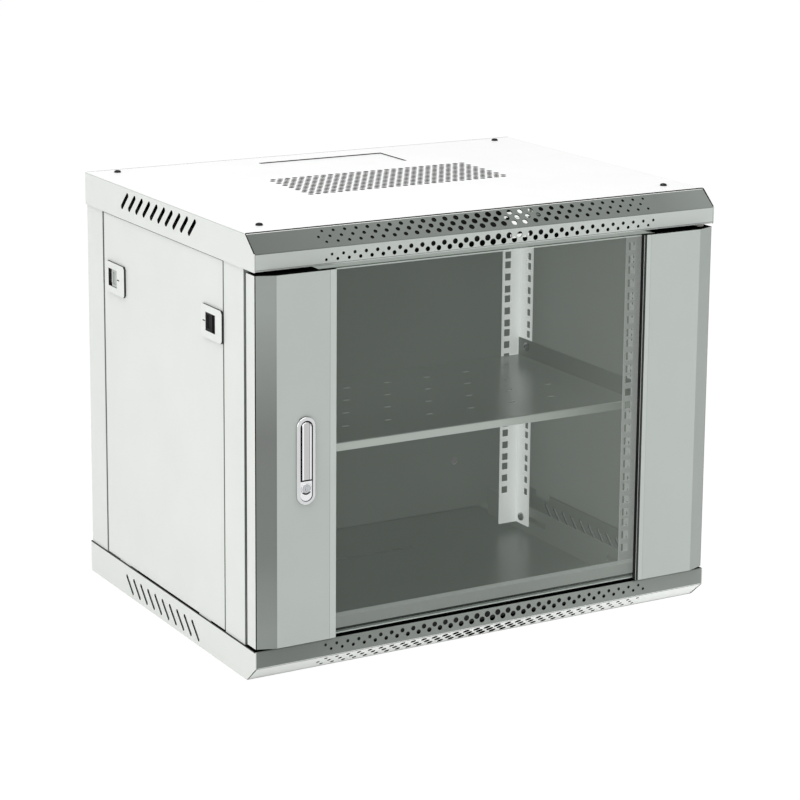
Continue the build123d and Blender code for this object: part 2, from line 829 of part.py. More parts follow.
with BuildPart() as hinge_stile_caps:
    with BuildSketch(Plane.XY.offset(door_top)):
        stile_cap(door_right_x, -1, hinge_stile_width)
    extrude(amount=-end_cap_sheet)
    with BuildSketch(Plane.XY.offset(door_top)):
        with Locations((hinge_x, hinge_y)):
            Rectangle(hinge_block_side, hinge_block_side)
    extrude(amount=-hinge_block_height)
    with BuildSketch(Plane.XY.offset(door_top)):
        with Locations((hinge_x, hinge_y)):
            Circle(hinge_pin_radius + press_gap)
    extrude(amount=-hinge_block_height, mode=Mode.SUBTRACT)
    mirror(about=mirror_z)


# Glass behind both stiles, held by tape on their flanges
glass_left_x = door_left_x + lock_stile_width - glass_flange + glass_edge_gap
glass_right_x = door_right_x - hinge_stile_width + glass_flange - glass_edge_gap
with BuildPart() as door_glass:
    with BuildSketch(Plane.XZ.offset(-front_y - tape_thickness)):
        with Locations(((glass_left_x + glass_right_x) / 2, mid_z)):
            Rectangle(glass_right_x - glass_left_x, door_height - 2 * glass_edge_gap)
    extrude(amount=-glass_thickness)

with BuildPart() as glass_tape:
    with BuildSketch(Plane.XZ.offset(-front_y)):
        with Locations(
            (glass_left_x + tape_width / 2, mid_z), (glass_right_x - tape_width / 2, mid_z)
        ):
            Rectangle(tape_width, door_height - 2 * tape_end_gap)
    extrude(amount=-tape_thickness)


# Lock housing: a raised obround rim, a recess for the lever, a block round the key and a sleeve
housing_front_y = front_y - door_stand_off - lock_rim
housing_back_y = front_y - door_stand_off + lock_body_depth
recess_floor_y = housing_back_y - lock_floor
recess_bottom_z = mid_z - lock_recess_length / 2
recess_top_z = mid_z + lock_recess_length / 2
block_front_y = housing_front_y + cylinder_block_step
key_z = recess_bottom_z + key_axis_rise
lever_pin_y = housing_front_y - lever_proud + lever_thickness / 2
lever_top_z = recess_top_z - lever_top_gap
lever_pin_z = lever_top_z - lever_pin_drop
lever_bottom_z = recess_bottom_z + cylinder_block_height + lever_block_gap
sleeve_end_y = housing_back_y + key_sleeve_length
with BuildPart() as lock_housing:
    with BuildSketch(Plane.XZ.offset(-housing_front_y)):
        obround(lock_x, mid_z, lock_length, lock_width)
    extrude(amount=-lock_rim)
    with BuildSketch(Plane.XZ.offset(-housing_front_y)):
        obround(lock_x, mid_z, lock_body_length, lock_body_width)
    extrude(amount=housing_front_y - housing_back_y)
    with BuildSketch(Plane.XZ.offset(-housing_back_y)):
        with Locations((lock_x, key_z)):
            RegularPolygon(radius=key_sleeve_radius, side_count=round_sides)
    extrude(amount=-key_sleeve_length)
    with BuildSketch(Plane.XZ.offset(-housing_front_y)):
        obround(lock_x, mid_z, lock_recess_length, lock_recess_width)
    extrude(amount=housing_front_y - recess_floor_y, mode=Mode.SUBTRACT)
    with BuildSketch(Plane.XZ.offset(-block_front_y)):
        obround(lock_x, mid_z, lock_recess_length, lock_recess_width)
        with Locations((lock_x, recess_bottom_z + cylinder_block_height / 2)):
            Rectangle(lock_recess_width, cylinder_block_height, mode=Mode.INTERSECT)
    extrude(amount=block_front_y - recess_floor_y)
    with BuildSketch(Plane.XZ.offset(-block_front_y)):
        with Locations((lock_x, key_z)):
            Circle(key_plug_radius + running_gap)
    extrude(amount=block_front_y - sleeve_end_y, mode=Mode.SUBTRACT)
    with BuildSketch(Plane.YZ.offset(lock_x - lever_pin_length / 2 - slip_gap)):
        with Locations((lever_pin_y, lever_pin_z)):
            Circle(lever_pin_radius + press_gap)
    extrude(amount=lever_pin_length + 2 * slip_gap, mode=Mode.SUBTRACT)

# Lever: round at the top, where its pin is, and square above the key block
with BuildPart() as lock_lever:
    with BuildSketch(Plane.XZ.offset(lever_proud - housing_front_y)):
        lever_round_z = lever_top_z - lever_width / 2
        with Locations((lock_x, lever_round_z)):
            RegularPolygon(radius=lever_width / 2, side_count=round_sides)
        with Locations((lock_x, (lever_round_z + lever_bottom_z) / 2)):
            Rectangle(lever_width, lever_round_z - lever_bottom_z)
    extrude(amount=-lever_thickness)
    chamfer(lock_lever.faces().sort_by(Axis.Y)[0].edges(), length=lever_edge)
    with BuildSketch(Plane.YZ.offset(lock_x - lever_width / 2)):
        with Locations((lever_pin_y, lever_pin_z)):
            Circle(lever_pin_radius + running_gap)
    extrude(amount=lever_width, mode=Mode.SUBTRACT)

with BuildPart() as lever_pin:
    with BuildSketch(Plane.YZ.offset(lock_x - lever_pin_length / 2)):
        with Locations((lever_pin_y, lever_pin_z)):
            Circle(lever_pin_radius)
    extrude(amount=lever_pin_length)


# Key plug with a thin head on the block, a key slot and a square drive for the cam
cam_face_y = sleeve_end_y + slip_gap
plug_head_back_y = block_front_y - running_gap
plug_front_y = plug_head_back_y - key_head_step
with BuildPart() as key_plug:
    with BuildSketch(Plane.XZ.offset(-plug_front_y)):
        with Locations((lock_x, key_z)):
            RegularPolygon(radius=key_head_radius, side_count=round_sides)
    extrude(amount=-key_head_step)
    with BuildSketch(Plane.XZ.offset(-plug_head_back_y)):
        with Locations((lock_x, key_z)):
            Circle(key_plug_radius)
    extrude(amount=plug_head_back_y - cam_face_y)
    with BuildSketch(Plane.XZ.offset(-cam_face_y)):
        with Locations((lock_x, key_z)):
            Rectangle(key_drive_side, key_drive_side)
    extrude(amount=-cam_sheet)
    with BuildSketch(Plane.XZ.offset(-plug_front_y)):
        with Locations((lock_x, key_z)):
            Rectangle(key_slot_width, key_slot_length)
    extrude(amount=-key_slot_depth, mode=Mode.SUBTRACT)
    with BuildSketch(Plane.XZ.offset(-cam_face_y - cam_sheet)):
        with Locations((lock_x, key_z)):
            RegularPolygon(radius=cam_screw_radius + running_gap, side_count=shank_sides)
    extrude(amount=cam_screw_length + slip_gap, mode=Mode.SUBTRACT)

# Cam drawn unlocked, pointing down. Its crank brings the arm behind the face of the front post
cam_arm_y = frame_front_y + post_sheet + cam_gap
with BuildPart() as lock_cam:
    with BuildSketch(Plane.YZ.offset(lock_x - cam_width / 2)):
        folded_section([
            (cam_face_y, key_z + cam_head),
            (cam_face_y, key_z - cam_crank_start),
            (cam_arm_y, key_z - cam_crank_end),
            (cam_arm_y, key_z - cam_reach),
        ], cam_sheet)
    extrude(amount=cam_width)
    with BuildSketch(Plane.XZ.offset(-cam_face_y)):
        with Locations((lock_x, key_z)):
            Rectangle(key_drive_side + 2 * press_gap, key_drive_side + 2 * press_gap)
    extrude(amount=-cam_sheet, mode=Mode.SUBTRACT)

with BuildPart() as cam_screw:
    with BuildSketch(Plane.XZ.offset(-cam_face_y - cam_sheet)):
        with Locations((lock_x, key_z)):
            RegularPolygon(radius=cam_screw_head_radius, side_count=head_sides)
    extrude(amount=-cam_screw_head)
    with BuildSketch(Plane.XZ.offset(-cam_face_y - cam_sheet)):
        with Locations((lock_x, key_z)):
            RegularPolygon(radius=cam_screw_radius, side_count=shank_sides)
    extrude(amount=cam_screw_length)


# Side panels: a sheet with returns at the front, rear and top, and two tabs that drop behind
# the flange of the tray. Depths from here on are measured inward from the face of the panel
panel_front_y = frame_front_y + front_post_side + panel_edge_gap
panel_rear_y = frame_back_y - rear_post_side - panel_edge_gap
panel_bottom_z = flange_height + panel_bottom_gap
panel_top_z = return_z - panel_top_gap
panel_middle_y = (panel_front_y + panel_rear_y) / 2
panel_length = panel_rear_y - panel_front_y
latch_z = cabinet_height - flange_height - latch_drop
box_height = slider_height + 2 * fit_gap + 2 * latch_wall
box_length = slider_length + latch_travel + 2 * fit_gap + 2 * latch_wall
box_depth = slider_thickness + 2 * slip_gap + latch_lip_thickness
latch_centre_y = [panel_front_y + latch_front_inset, panel_rear_y - latch_rear_inset]
latch_box_y = [latch_centre_y[0] + latch_front_shift, latch_centre_y[1] + latch_rear_shift]
with BuildPart() as left_panel:
    with BuildSketch(Plane.XY.offset(panel_bottom_z)):
        folded_section([
            (-post_x + panel_return, panel_rear_y),
            (-post_x, panel_rear_y),
            (-post_x, panel_front_y),
            (-post_x + panel_return, panel_front_y),
        ], panel_sheet)
    extrude(amount=panel_top_z - panel_bottom_z)
    with BuildSketch(Plane.XY.offset(panel_top_z)):
        with Locations((-post_x + (panel_return + panel_sheet / 2) / 2, panel_middle_y)):
            Rectangle(panel_return - panel_sheet / 2, panel_length - 2 * panel_return)
    extrude(amount=-panel_sheet)
    with BuildSketch(Plane.YZ.offset(-post_x)):
        with Locations((panel_middle_y, panel_bottom_z - panel_tab_depth / 2)):
            with GridLocations(panel_tab_spread, 0, 2, 1):
                Rectangle(panel_tab_width, panel_tab_depth)
    extrude(amount=panel_sheet)
    with BuildSketch(Plane.YZ.offset(-post_x - overrun)):
        with Locations((latch_box_y[0], latch_z), (latch_box_y[1], latch_z)):
            Rectangle(box_length + 2 * fit_gap, box_height + 2 * fit_gap)
    extrude(amount=panel_sheet + 2 * overrun, mode=Mode.SUBTRACT)
    with BuildSketch(Plane.YZ.offset(-post_x + panel_sheet)):
        with Locations((panel_front_y, latch_z), (panel_rear_y, latch_z)):
            Rectangle(2 * (panel_sheet + fit_gap), tongue_width + 2 * fit_gap)
    extrude(amount=panel_return, mode=Mode.SUBTRACT)

with BuildPart() as right_panel:
    mirror(left_panel.part, about=Plane.YZ)


# One latch housing of the left panel: a raised bezel with a window, a box behind it and lips
# that keep the slider in. The tongue sign is -1 towards the front and 1 towards the rear
def latch_housing(centre_y, box_y, tongue_sign):
    window_end_y = box_y - latch_window_length / 2
    dash_y = box_y + latch_window_length / 2 + latch_dash_gap
    if tongue_sign > 0:
        dash_y = window_end_y - latch_dash_gap
    with BuildPart() as housing:
        with BuildSketch(Plane.YZ.offset(-post_x - latch_rise)):
            with Locations((centre_y, latch_z)):
                bezel = Rectangle(latch_length, latch_height)
            chamfer(bezel.vertices(), length=latch_corner)
        extrude(amount=latch_rise)
        with BuildSketch(Plane.YZ.offset(-post_x)):
            with Locations((box_y, latch_z)):
                Rectangle(box_length, box_height)
        extrude(amount=box_depth)
        with BuildSketch(Plane.YZ.offset(-post_x)):
            with Locations((box_y, latch_z)):
                Rectangle(box_length - 2 * latch_wall, box_height - 2 * latch_wall)
        extrude(amount=slider_thickness + 2 * slip_gap, mode=Mode.SUBTRACT)
        with BuildSketch(Plane.YZ.offset(-post_x)):
            with Locations((box_y, latch_z)):
                Rectangle(
                    box_length - 2 * latch_wall, box_height - 2 * latch_wall - 2 * latch_lip
                )
        extrude(amount=box_depth, mode=Mode.SUBTRACT)
        with BuildSketch(Plane.YZ.offset(-post_x - latch_rise)):
            with Locations((box_y, latch_z)):
                Rectangle(latch_window_length, latch_window_height)
        extrude(amount=latch_rise, mode=Mode.SUBTRACT)
        with BuildSketch(Plane.YZ.offset(-post_x - latch_rise)):
            with Locations((dash_y, latch_z)):
                Rectangle(latch_dash_length, latch_dash_height)
        extrude(amount=latch_dash_depth, mode=Mode.SUBTRACT)
        with BuildSketch(Plane.YZ.offset(-post_x + tongue_step - fit_gap)):
            with Locations((box_y + tongue_sign * box_length / 2, latch_z)):
                Rectangle(2 * latch_wall + fit_gap, tongue_width + 2 * fit_gap)
        extrude(amount=slider_thickness + 2 * slip_gap + fit_gap - tongue_step, mode=Mode.SUBTRACT)
    return housing.part


# One slider of the left panel, drawn back so that its tongue stays within the panel's edge
def latch_slider(box_y, edge_y, tongue_sign):
    slider_y = box_y - tongue_sign * latch_travel / 2
    slider_end_y = slider_y + tongue_sign * slider_length / 2
    tip_y = edge_y - tongue_sign * slip_gap
    with BuildPart() as slider:
        with BuildSketch(Plane.YZ.offset(-post_x + slip_gap)):
            with Locations((slider_y, latch_z)):
                Rectangle(slider_length, slider_height)
        extrude(amount=slider_thickness)
        with BuildSketch(Plane.YZ.offset(-post_x + slip_gap)):
            with Locations((slider_y, latch_z)):
                Rectangle(pad_length, pad_height)
        extrude(amount=-pad_rise)
        with BuildSketch(Plane.YZ.offset(-post_x + slip_gap - pad_rise)):
            with Locations((slider_y, latch_z)):
                Rectangle(pad_length - 2 * pad_wall, pad_height - 2 * pad_wall)
        extrude(amount=pad_hollow, mode=Mode.SUBTRACT)
        with BuildSketch(Plane.YZ.offset(-post_x + tongue_step)):
            with Locations(((slider_end_y + tip_y) / 2, latch_z)):
                Rectangle(abs(tip_y - slider_end_y), tongue_width)
        extrude(amount=slider_thickness + slip_gap - tongue_step)
    return slider.part


with BuildPart() as left_latch_housings:
    add(latch_housing(latch_centre_y[0], latch_box_y[0], -1))
    add(latch_housing(latch_centre_y[1], latch_box_y[1], 1))

with BuildPart() as right_latch_housings:
    mirror(left_latch_housings.part, about=Plane.YZ)

with BuildPart() as left_front_latch:
    add(latch_slider(latch_box_y[0], panel_front_y, -1))

with BuildPart() as left_rear_latch:
    add(latch_slider(latch_box_y[1], panel_rear_y, 1))

with BuildPart() as right_front_latch:
    mirror(left_front_latch.part, about=Plane.YZ)

with BuildPart() as right_rear_latch:
    mirror(left_rear_latch.part, about=Plane.YZ)


# Written pieces
top_cover.part.label = "top_cover"
export_step(top_cover.part, "parts/top_cover.step")
bottom_tray.part.label = "bottom_tray"
export_step(bottom_tray.part, "parts/bottom_tray.step")
top_cable_plate.part.label = "top_cable_plate"
export_step(top_cable_plate.part, "parts/top_cable_plate.step")
bottom_cable_plate.part.label = "bottom_cable_plate"
export_step(bottom_cable_plate.part, "parts/bottom_cable_plate.step")
top_fascia.part.label = "top_fascia"
export_step(top_fascia.part, "parts/top_fascia.step")
bottom_fascia.part.label = "bottom_fascia"
export_step(bottom_fascia.part, "parts/bottom_fascia.step")
front_post_left.part.label = "front_post_left"
export_step(front_post_left.part, "parts/front_post_left.step")
front_post_right.part.label = "front_post_right"
export_step(front_post_right.part, "parts/front_post_right.step")
rear_post_left.part.label = "rear_post_left"
export_step(rear_post_left.part, "parts/rear_post_left.step")
rear_post_right.part.label = "rear_post_right"
export_step(rear_post_right.part, "parts/rear_post_right.step")
front_corner_plates.part.label = "front_corner_plates"
export_step(front_corner_plates.part, "parts/front_corner_plates.step")
rear_corner_plates.part.label = "rear_corner_plates"
export_step(rear_corner_plates.part, "parts/rear_corner_plates.step")
top_sill.part.label = "top_sill"
export_step(top_sill.part, "parts/top_sill.step")
bottom_sill.part.label = "bottom_sill"
export_step(bottom_sill.part, "parts/bottom_sill.step")
back_panel.part.label = "back_panel"
export_step(back_panel.part, "parts/back_panel.step")
depth_rail_top_left.part.label = "depth_rail_top_left"
export_step(depth_rail_top_left.part, "parts/depth_rail_top_left.step")
depth_rail_top_right.part.label = "depth_rail_top_right"
export_step(depth_rail_top_right.part, "parts/depth_rail_top_right.step")
depth_rail_bottom_left.part.label = "depth_rail_bottom_left"
export_step(depth_rail_bottom_left.part, "parts/depth_rail_bottom_left.step")
depth_rail_bottom_right.part.label = "depth_rail_bottom_right"
export_step(depth_rail_bottom_right.part, "parts/depth_rail_bottom_right.step")
front_rail_left.part.label = "front_rail_left"
export_step(front_rail_left.part, "parts/front_rail_left.step")
front_rail_right.part.label = "front_rail_right"
export_step(front_rail_right.part, "parts/front_rail_right.step")
rear_rail_left.part.label = "rear_rail_left"
export_step(rear_rail_left.part, "parts/rear_rail_left.step")
rear_rail_right.part.label = "rear_rail_right"
export_step(rear_rail_right.part, "parts/rear_rail_right.step")
rail_bolts.part.label = "rail_bolts"
export_step(rail_bolts.part, "parts/rail_bolts.step")
shelf.part.label = "shelf"
export_step(shelf.part, "parts/shelf.step")
shelf_screws.part.label = "shelf_screws"
export_step(shelf_screws.part, "parts/shelf_screws.step")
cage_nuts.part.label = "cage_nuts"
export_step(cage_nuts.part, "parts/cage_nuts.step")
cover_screws.part.label = "cover_screws"
export_step(cover_screws.part, "parts/cover_screws.step")
hinge_bushes.part.label = "hinge_bushes"
export_step(hinge_bushes.part, "parts/hinge_bushes.step")
lock_stile.part.label = "lock_stile"
export_step(lock_stile.part, "parts/lock_stile.step")
hinge_stile.part.label = "hinge_stile"
export_step(hinge_stile.part, "parts/hinge_stile.step")
lock_stile_caps.part.label = "lock_stile_caps"
export_step(lock_stile_caps.part, "parts/lock_stile_caps.step")
hinge_stile_caps.part.label = "hinge_stile_caps"
export_step(hinge_stile_caps.part, "parts/hinge_stile_caps.step")
hinge_pins.part.label = "hinge_pins"
export_step(hinge_pins.part, "parts/hinge_pins.step")
door_glass.part.label = "door_glass"
export_step(door_glass.part, "parts/door_glass.step")
glass_tape.part.label = "glass_tape"
export_step(glass_tape.part, "parts/glass_tape.step")
lock_housing.part.label = "lock_housing"
export_step(lock_housing.part, "parts/lock_housing.step")
lever_pin.part.label = "lever_pin"
export_step(lever_pin.part, "parts/lever_pin.step")
lock_lever.part.label = "lock_lever"
export_step(lock_lever.part, "parts/lock_lever.step")
key_plug.part.label = "key_plug"
export_step(key_plug.part, "parts/key_plug.step")
lock_cam.part.label = "lock_cam"
export_step(lock_cam.part, "parts/lock_cam.step")
cam_screw.part.label = "cam_screw"
export_step(cam_screw.part, "parts/cam_screw.step")
left_panel.part.label = "left_panel"
export_step(left_panel.part, "parts/left_panel.step")
right_panel.part.label = "right_panel"
export_step(right_panel.part, "parts/right_panel.step")
left_latch_housings.part.label = "left_latch_housings"
export_step(left_latch_housings.part, "parts/left_latch_housings.step")
right_latch_housings.part.label = "right_latch_housings"
export_step(right_latch_housings.part, "parts/right_latch_housings.step")
left_front_latch.part.label = "left_front_latch"
export_step(left_front_latch.part, "parts/left_front_latch.step")
left_rear_latch.part.label = "left_rear_latch"
export_step(left_rear_latch.part, "parts/left_rear_latch.step")
right_front_latch.part.label = "right_front_latch"
export_step(right_front_latch.part, "parts/right_front_latch.step")
right_rear_latch.part.label = "right_rear_latch"
export_step(right_rear_latch.part, "parts/right_rear_latch.step")
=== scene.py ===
import math
import bmesh
import bpy
from mathutils import Matrix, Vector


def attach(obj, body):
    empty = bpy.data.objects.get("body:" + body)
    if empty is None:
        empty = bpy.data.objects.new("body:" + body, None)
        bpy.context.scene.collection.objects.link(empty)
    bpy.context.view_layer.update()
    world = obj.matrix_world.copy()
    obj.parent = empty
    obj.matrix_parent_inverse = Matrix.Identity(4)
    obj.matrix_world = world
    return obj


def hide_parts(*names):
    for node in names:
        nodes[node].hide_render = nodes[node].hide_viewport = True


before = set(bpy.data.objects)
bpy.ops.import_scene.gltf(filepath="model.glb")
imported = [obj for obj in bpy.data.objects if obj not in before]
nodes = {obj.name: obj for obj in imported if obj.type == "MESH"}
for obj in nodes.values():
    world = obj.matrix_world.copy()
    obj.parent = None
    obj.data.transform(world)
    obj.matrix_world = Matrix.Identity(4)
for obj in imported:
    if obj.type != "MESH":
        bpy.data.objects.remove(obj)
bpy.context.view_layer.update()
print("frame loaded with", len(nodes), "nodes")

mm = 0.001


class Box:
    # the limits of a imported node, in millimetres
    def __init__(self, name):
        corners = [[round(value / mm, 3) for value in corner] for corner in nodes[name].bound_box]
        self.left, self.front, self.bottom = map(min, zip(*corners))
        self.right, self.rear, self.top = map(max, zip(*corners))


def tone(*values):
    # red, green and blue on screen, from 0 to 255, as the linear colour that a shader wants
    shares = [value / 255 for value in values]
    parts = [share / 12.92 if share <= 0.04045 else ((share + 0.055) / 1.055) ** 2.4 for share in shares]
    return (*parts, 1.0)


class Signal:
    # a number in a node tree: sums of signals add their own Math nodes
    def __init__(self, owner, socket):
        self.owner = owner
        self.socket = socket

    def __add__(self, other):
        return self.owner.maths("ADD", self, other)

    def __radd__(self, other):
        return self.owner.maths("ADD", other, self)

    def __sub__(self, other):
        return self.owner.maths("SUBTRACT", self, other)

    def __mul__(self, other):
        return self.owner.maths("MULTIPLY", self, other)

    def held(self):
        # kept between 0 and 1
        made = self.owner.node("ShaderNodeClamp", {}, {"Value": self})
        return Signal(self.owner, made.outputs[0])


class Shading:
    # a node tree with short ways to add to it
    def __init__(self, tree):
        self.tree = tree

    def node(self, kind, settings={}, inputs={}):
        made = self.tree.nodes.new(kind)
        for key, value in settings.items():
            setattr(made, key, value)
        for socket, value in inputs.items():
            if isinstance(value, Signal):
                value = value.socket
            if isinstance(value, bpy.types.NodeSocket):
                self.tree.links.new(value, made.inputs[socket])
            else:
                made.inputs[socket].default_value = value
        return made

    def maths(self, operation, first, second):
        made = self.node("ShaderNodeMath", {"operation": operation}, {0: first, 1: second})
        return Signal(self, made.outputs[0])

    def seen(self):
        # 1 on rays that the camera sees, also mirrored or through glass, and 0 on rays that only light
        path = self.node("ShaderNodeLightPath")
        kinds = ("Is Camera Ray", "Is Glossy Ray", "Is Transmission Ray")
        straight, mirrored, through = (Signal(self, path.outputs[kind]) for kind in kinds)
        return self.maths("MAXIMUM", self.maths("MAXIMUM", straight, mirrored), through)

    def mixed(self, share, first, second):
        return self.node("ShaderNodeMixShader", {}, {0: share, 1: first.outputs[0], 2: second.outputs[0]})


class Finish(Shading):
    # one material with its own node tree around a Principled shader
    def __init__(self, name, constants):
        self.material = bpy.data.materials.new(name)
        self.material.use_nodes = True
        super().__init__(self.material.node_tree)
        self.shader = self.tree.nodes["Principled BSDF"]
        for socket, value in constants.items():
            self.shader.inputs[socket].default_value = value
        self.place = self.node("ShaderNodeTexCoord").outputs["Object"]

    def noise(self, size, detail=2.0, stretch=(1, 1, 1)):
        # size is the spacing of the grains in millimetres
        spot = self.node("ShaderNodeMapping", {}, {"Vector": self.place, "Scale": stretch})
        made = self.node("ShaderNodeTexNoise", {}, {
            "Vector": spot.outputs[0], "Scale": 1 / (size * mm), "Detail": detail})
        return Signal(self, made.outputs[0])

    def axis(self, name):
        # place along one axis in metres
        made = self.node("ShaderNodeSeparateXYZ", {}, {0: self.place})
        return Signal(self, made.outputs[name])

    def band(self, axis, place, width):
        # 1 in a band across an axis and 0 beside it, in millimetres
        made = self.node("ShaderNodeMath", {"operation": "COMPARE"}, {
            0: self.axis(axis), 1: place * mm, 2: width * mm / 2})
        return Signal(self, made.outputs[0])

    def blend(self, mask, first, second):
        made = self.node("ShaderNodeMix", {"data_type": "RGBA"}, {0: mask, 6: first, 7: second})
        return made.outputs[2]

    def graded(self, axis, stops):
        # colours that follow one another along an axis, each at its place in millimetres
        colour = stops[0][1]
        for (start, before), (end, after) in zip(stops, stops[1:]):
            climb = ((self.axis(axis) - start * mm) * (1 / ((end - start) * mm))).held()
            colour = self.blend(climb, colour, after)
        return colour

    def ruled(self, colour, lines):
        # lines on the colour: each is (axis, place, width, line colour), in millimetres
        for axis, place, width, lineColour in lines:
            colour = self.blend(self.band(axis, place, width), colour, lineColour)
        return colour

    def feed(self, socket, value):
        if isinstance(value, Signal):
            value = value.socket
        self.tree.links.new(value, self.shader.inputs[socket])

    def gloss(self, roughness, signal, swing):
        # the roughness swings with the signal about its middle value
        self.feed("Roughness", roughness - swing / 2 + signal * swing)

    def grain(self, height, strength, depth):
        made = self.node("ShaderNodeBump", {}, {
            "Height": height, "Strength": strength, "Distance": depth * mm})
        self.feed("Normal", made.outputs[0])


def shaded(colour, share):
    return (*[min(part * share, 1) for part in colour[:3]], 1.0)


# sizes of the grain in millimetres, for each kind of surface
coatGrain = {"cloud": 70.0, "gloss": 25.0, "swing": 0.1, "peel": 1.4, "detail": 3.0, "bump": (0.12, 0.03)}
metalGrain = {"streak": 6.0, "detail": 4.0, "shades": (0.93, 1.05), "swing": 0.08, "scratch": 0.8,
              "bump": (0.05, 0.02)}
plasticGrain = {"cloud": 9.0, "shades": (0.94, 1.06), "gloss": 3.0, "swing": 0.1, "spark": 0.5,
                "bump": (0.15, 0.02)}


def powderCoat(name, colour, roughness=0.4, spread=0.03, stops=None, lines=(), glow=0.0, sheen=0.5):
    # sprayed and baked paint: faint cloudiness, a fine orange peel and an uneven gloss; stops, lines and
    # glow can lay painted shade and painted light on top
    finish = Finish(name, {"Emission Strength": glow, "Specular IOR Level": sheen})
    shades = []
    for share in (1 - spread, 1 + spread):
        if stops:
            axis, places = stops
            shades.append(finish.graded(axis, [(place, shaded(shade, share)) for place, shade in places]))
        else:
            shades.append(shaded(colour, share))
    clouded = finish.ruled(finish.blend(finish.noise(coatGrain["cloud"]), *shades), lines)
    finish.feed("Base Color", clouded)
    if glow:
        finish.feed("Emission Color", clouded)
    finish.gloss(roughness, finish.noise(coatGrain["gloss"]), coatGrain["swing"])
    finish.grain(finish.noise(coatGrain["peel"], coatGrain["detail"]), *coatGrain["bump"])
    return finish


def metal(name, colour, roughness, brushed=(1, 1, 1), lines=()):
    # plated or bare metal with faint streaks, drawn out along the brushed axes; lines can lay painted
    # highlights and shade on top
    finish = Finish(name, {"Metallic": 1.0})
    streak = finish.noise(metalGrain["streak"], metalGrain["detail"], brushed)
    streaked = finish.blend(streak, *[shaded(colour, share) for share in metalGrain["shades"]])
    finish.feed("Base Color", finish.ruled(streaked, lines))
    finish.gloss(roughness, streak, metalGrain["swing"])
    finish.grain(finish.noise(metalGrain["scratch"], stretch=brushed), *metalGrain["bump"])
    return finish


def moulded(name, colour, roughness=0.45):
    # moulded plastic with a fine spark-eroded grain
    finish = Finish(name, {})
    cloud = finish.noise(plasticGrain["cloud"])
    shades = [shaded(colour, share) for share in plasticGrain["shades"]]
    finish.feed("Base Color", finish.blend(cloud, *shades))
    finish.gloss(roughness, finish.noise(plasticGrain["gloss"]), plasticGrain["swing"])
    finish.grain(finish.noise(plasticGrain["spark"]), *plasticGrain["bump"])
    return finish


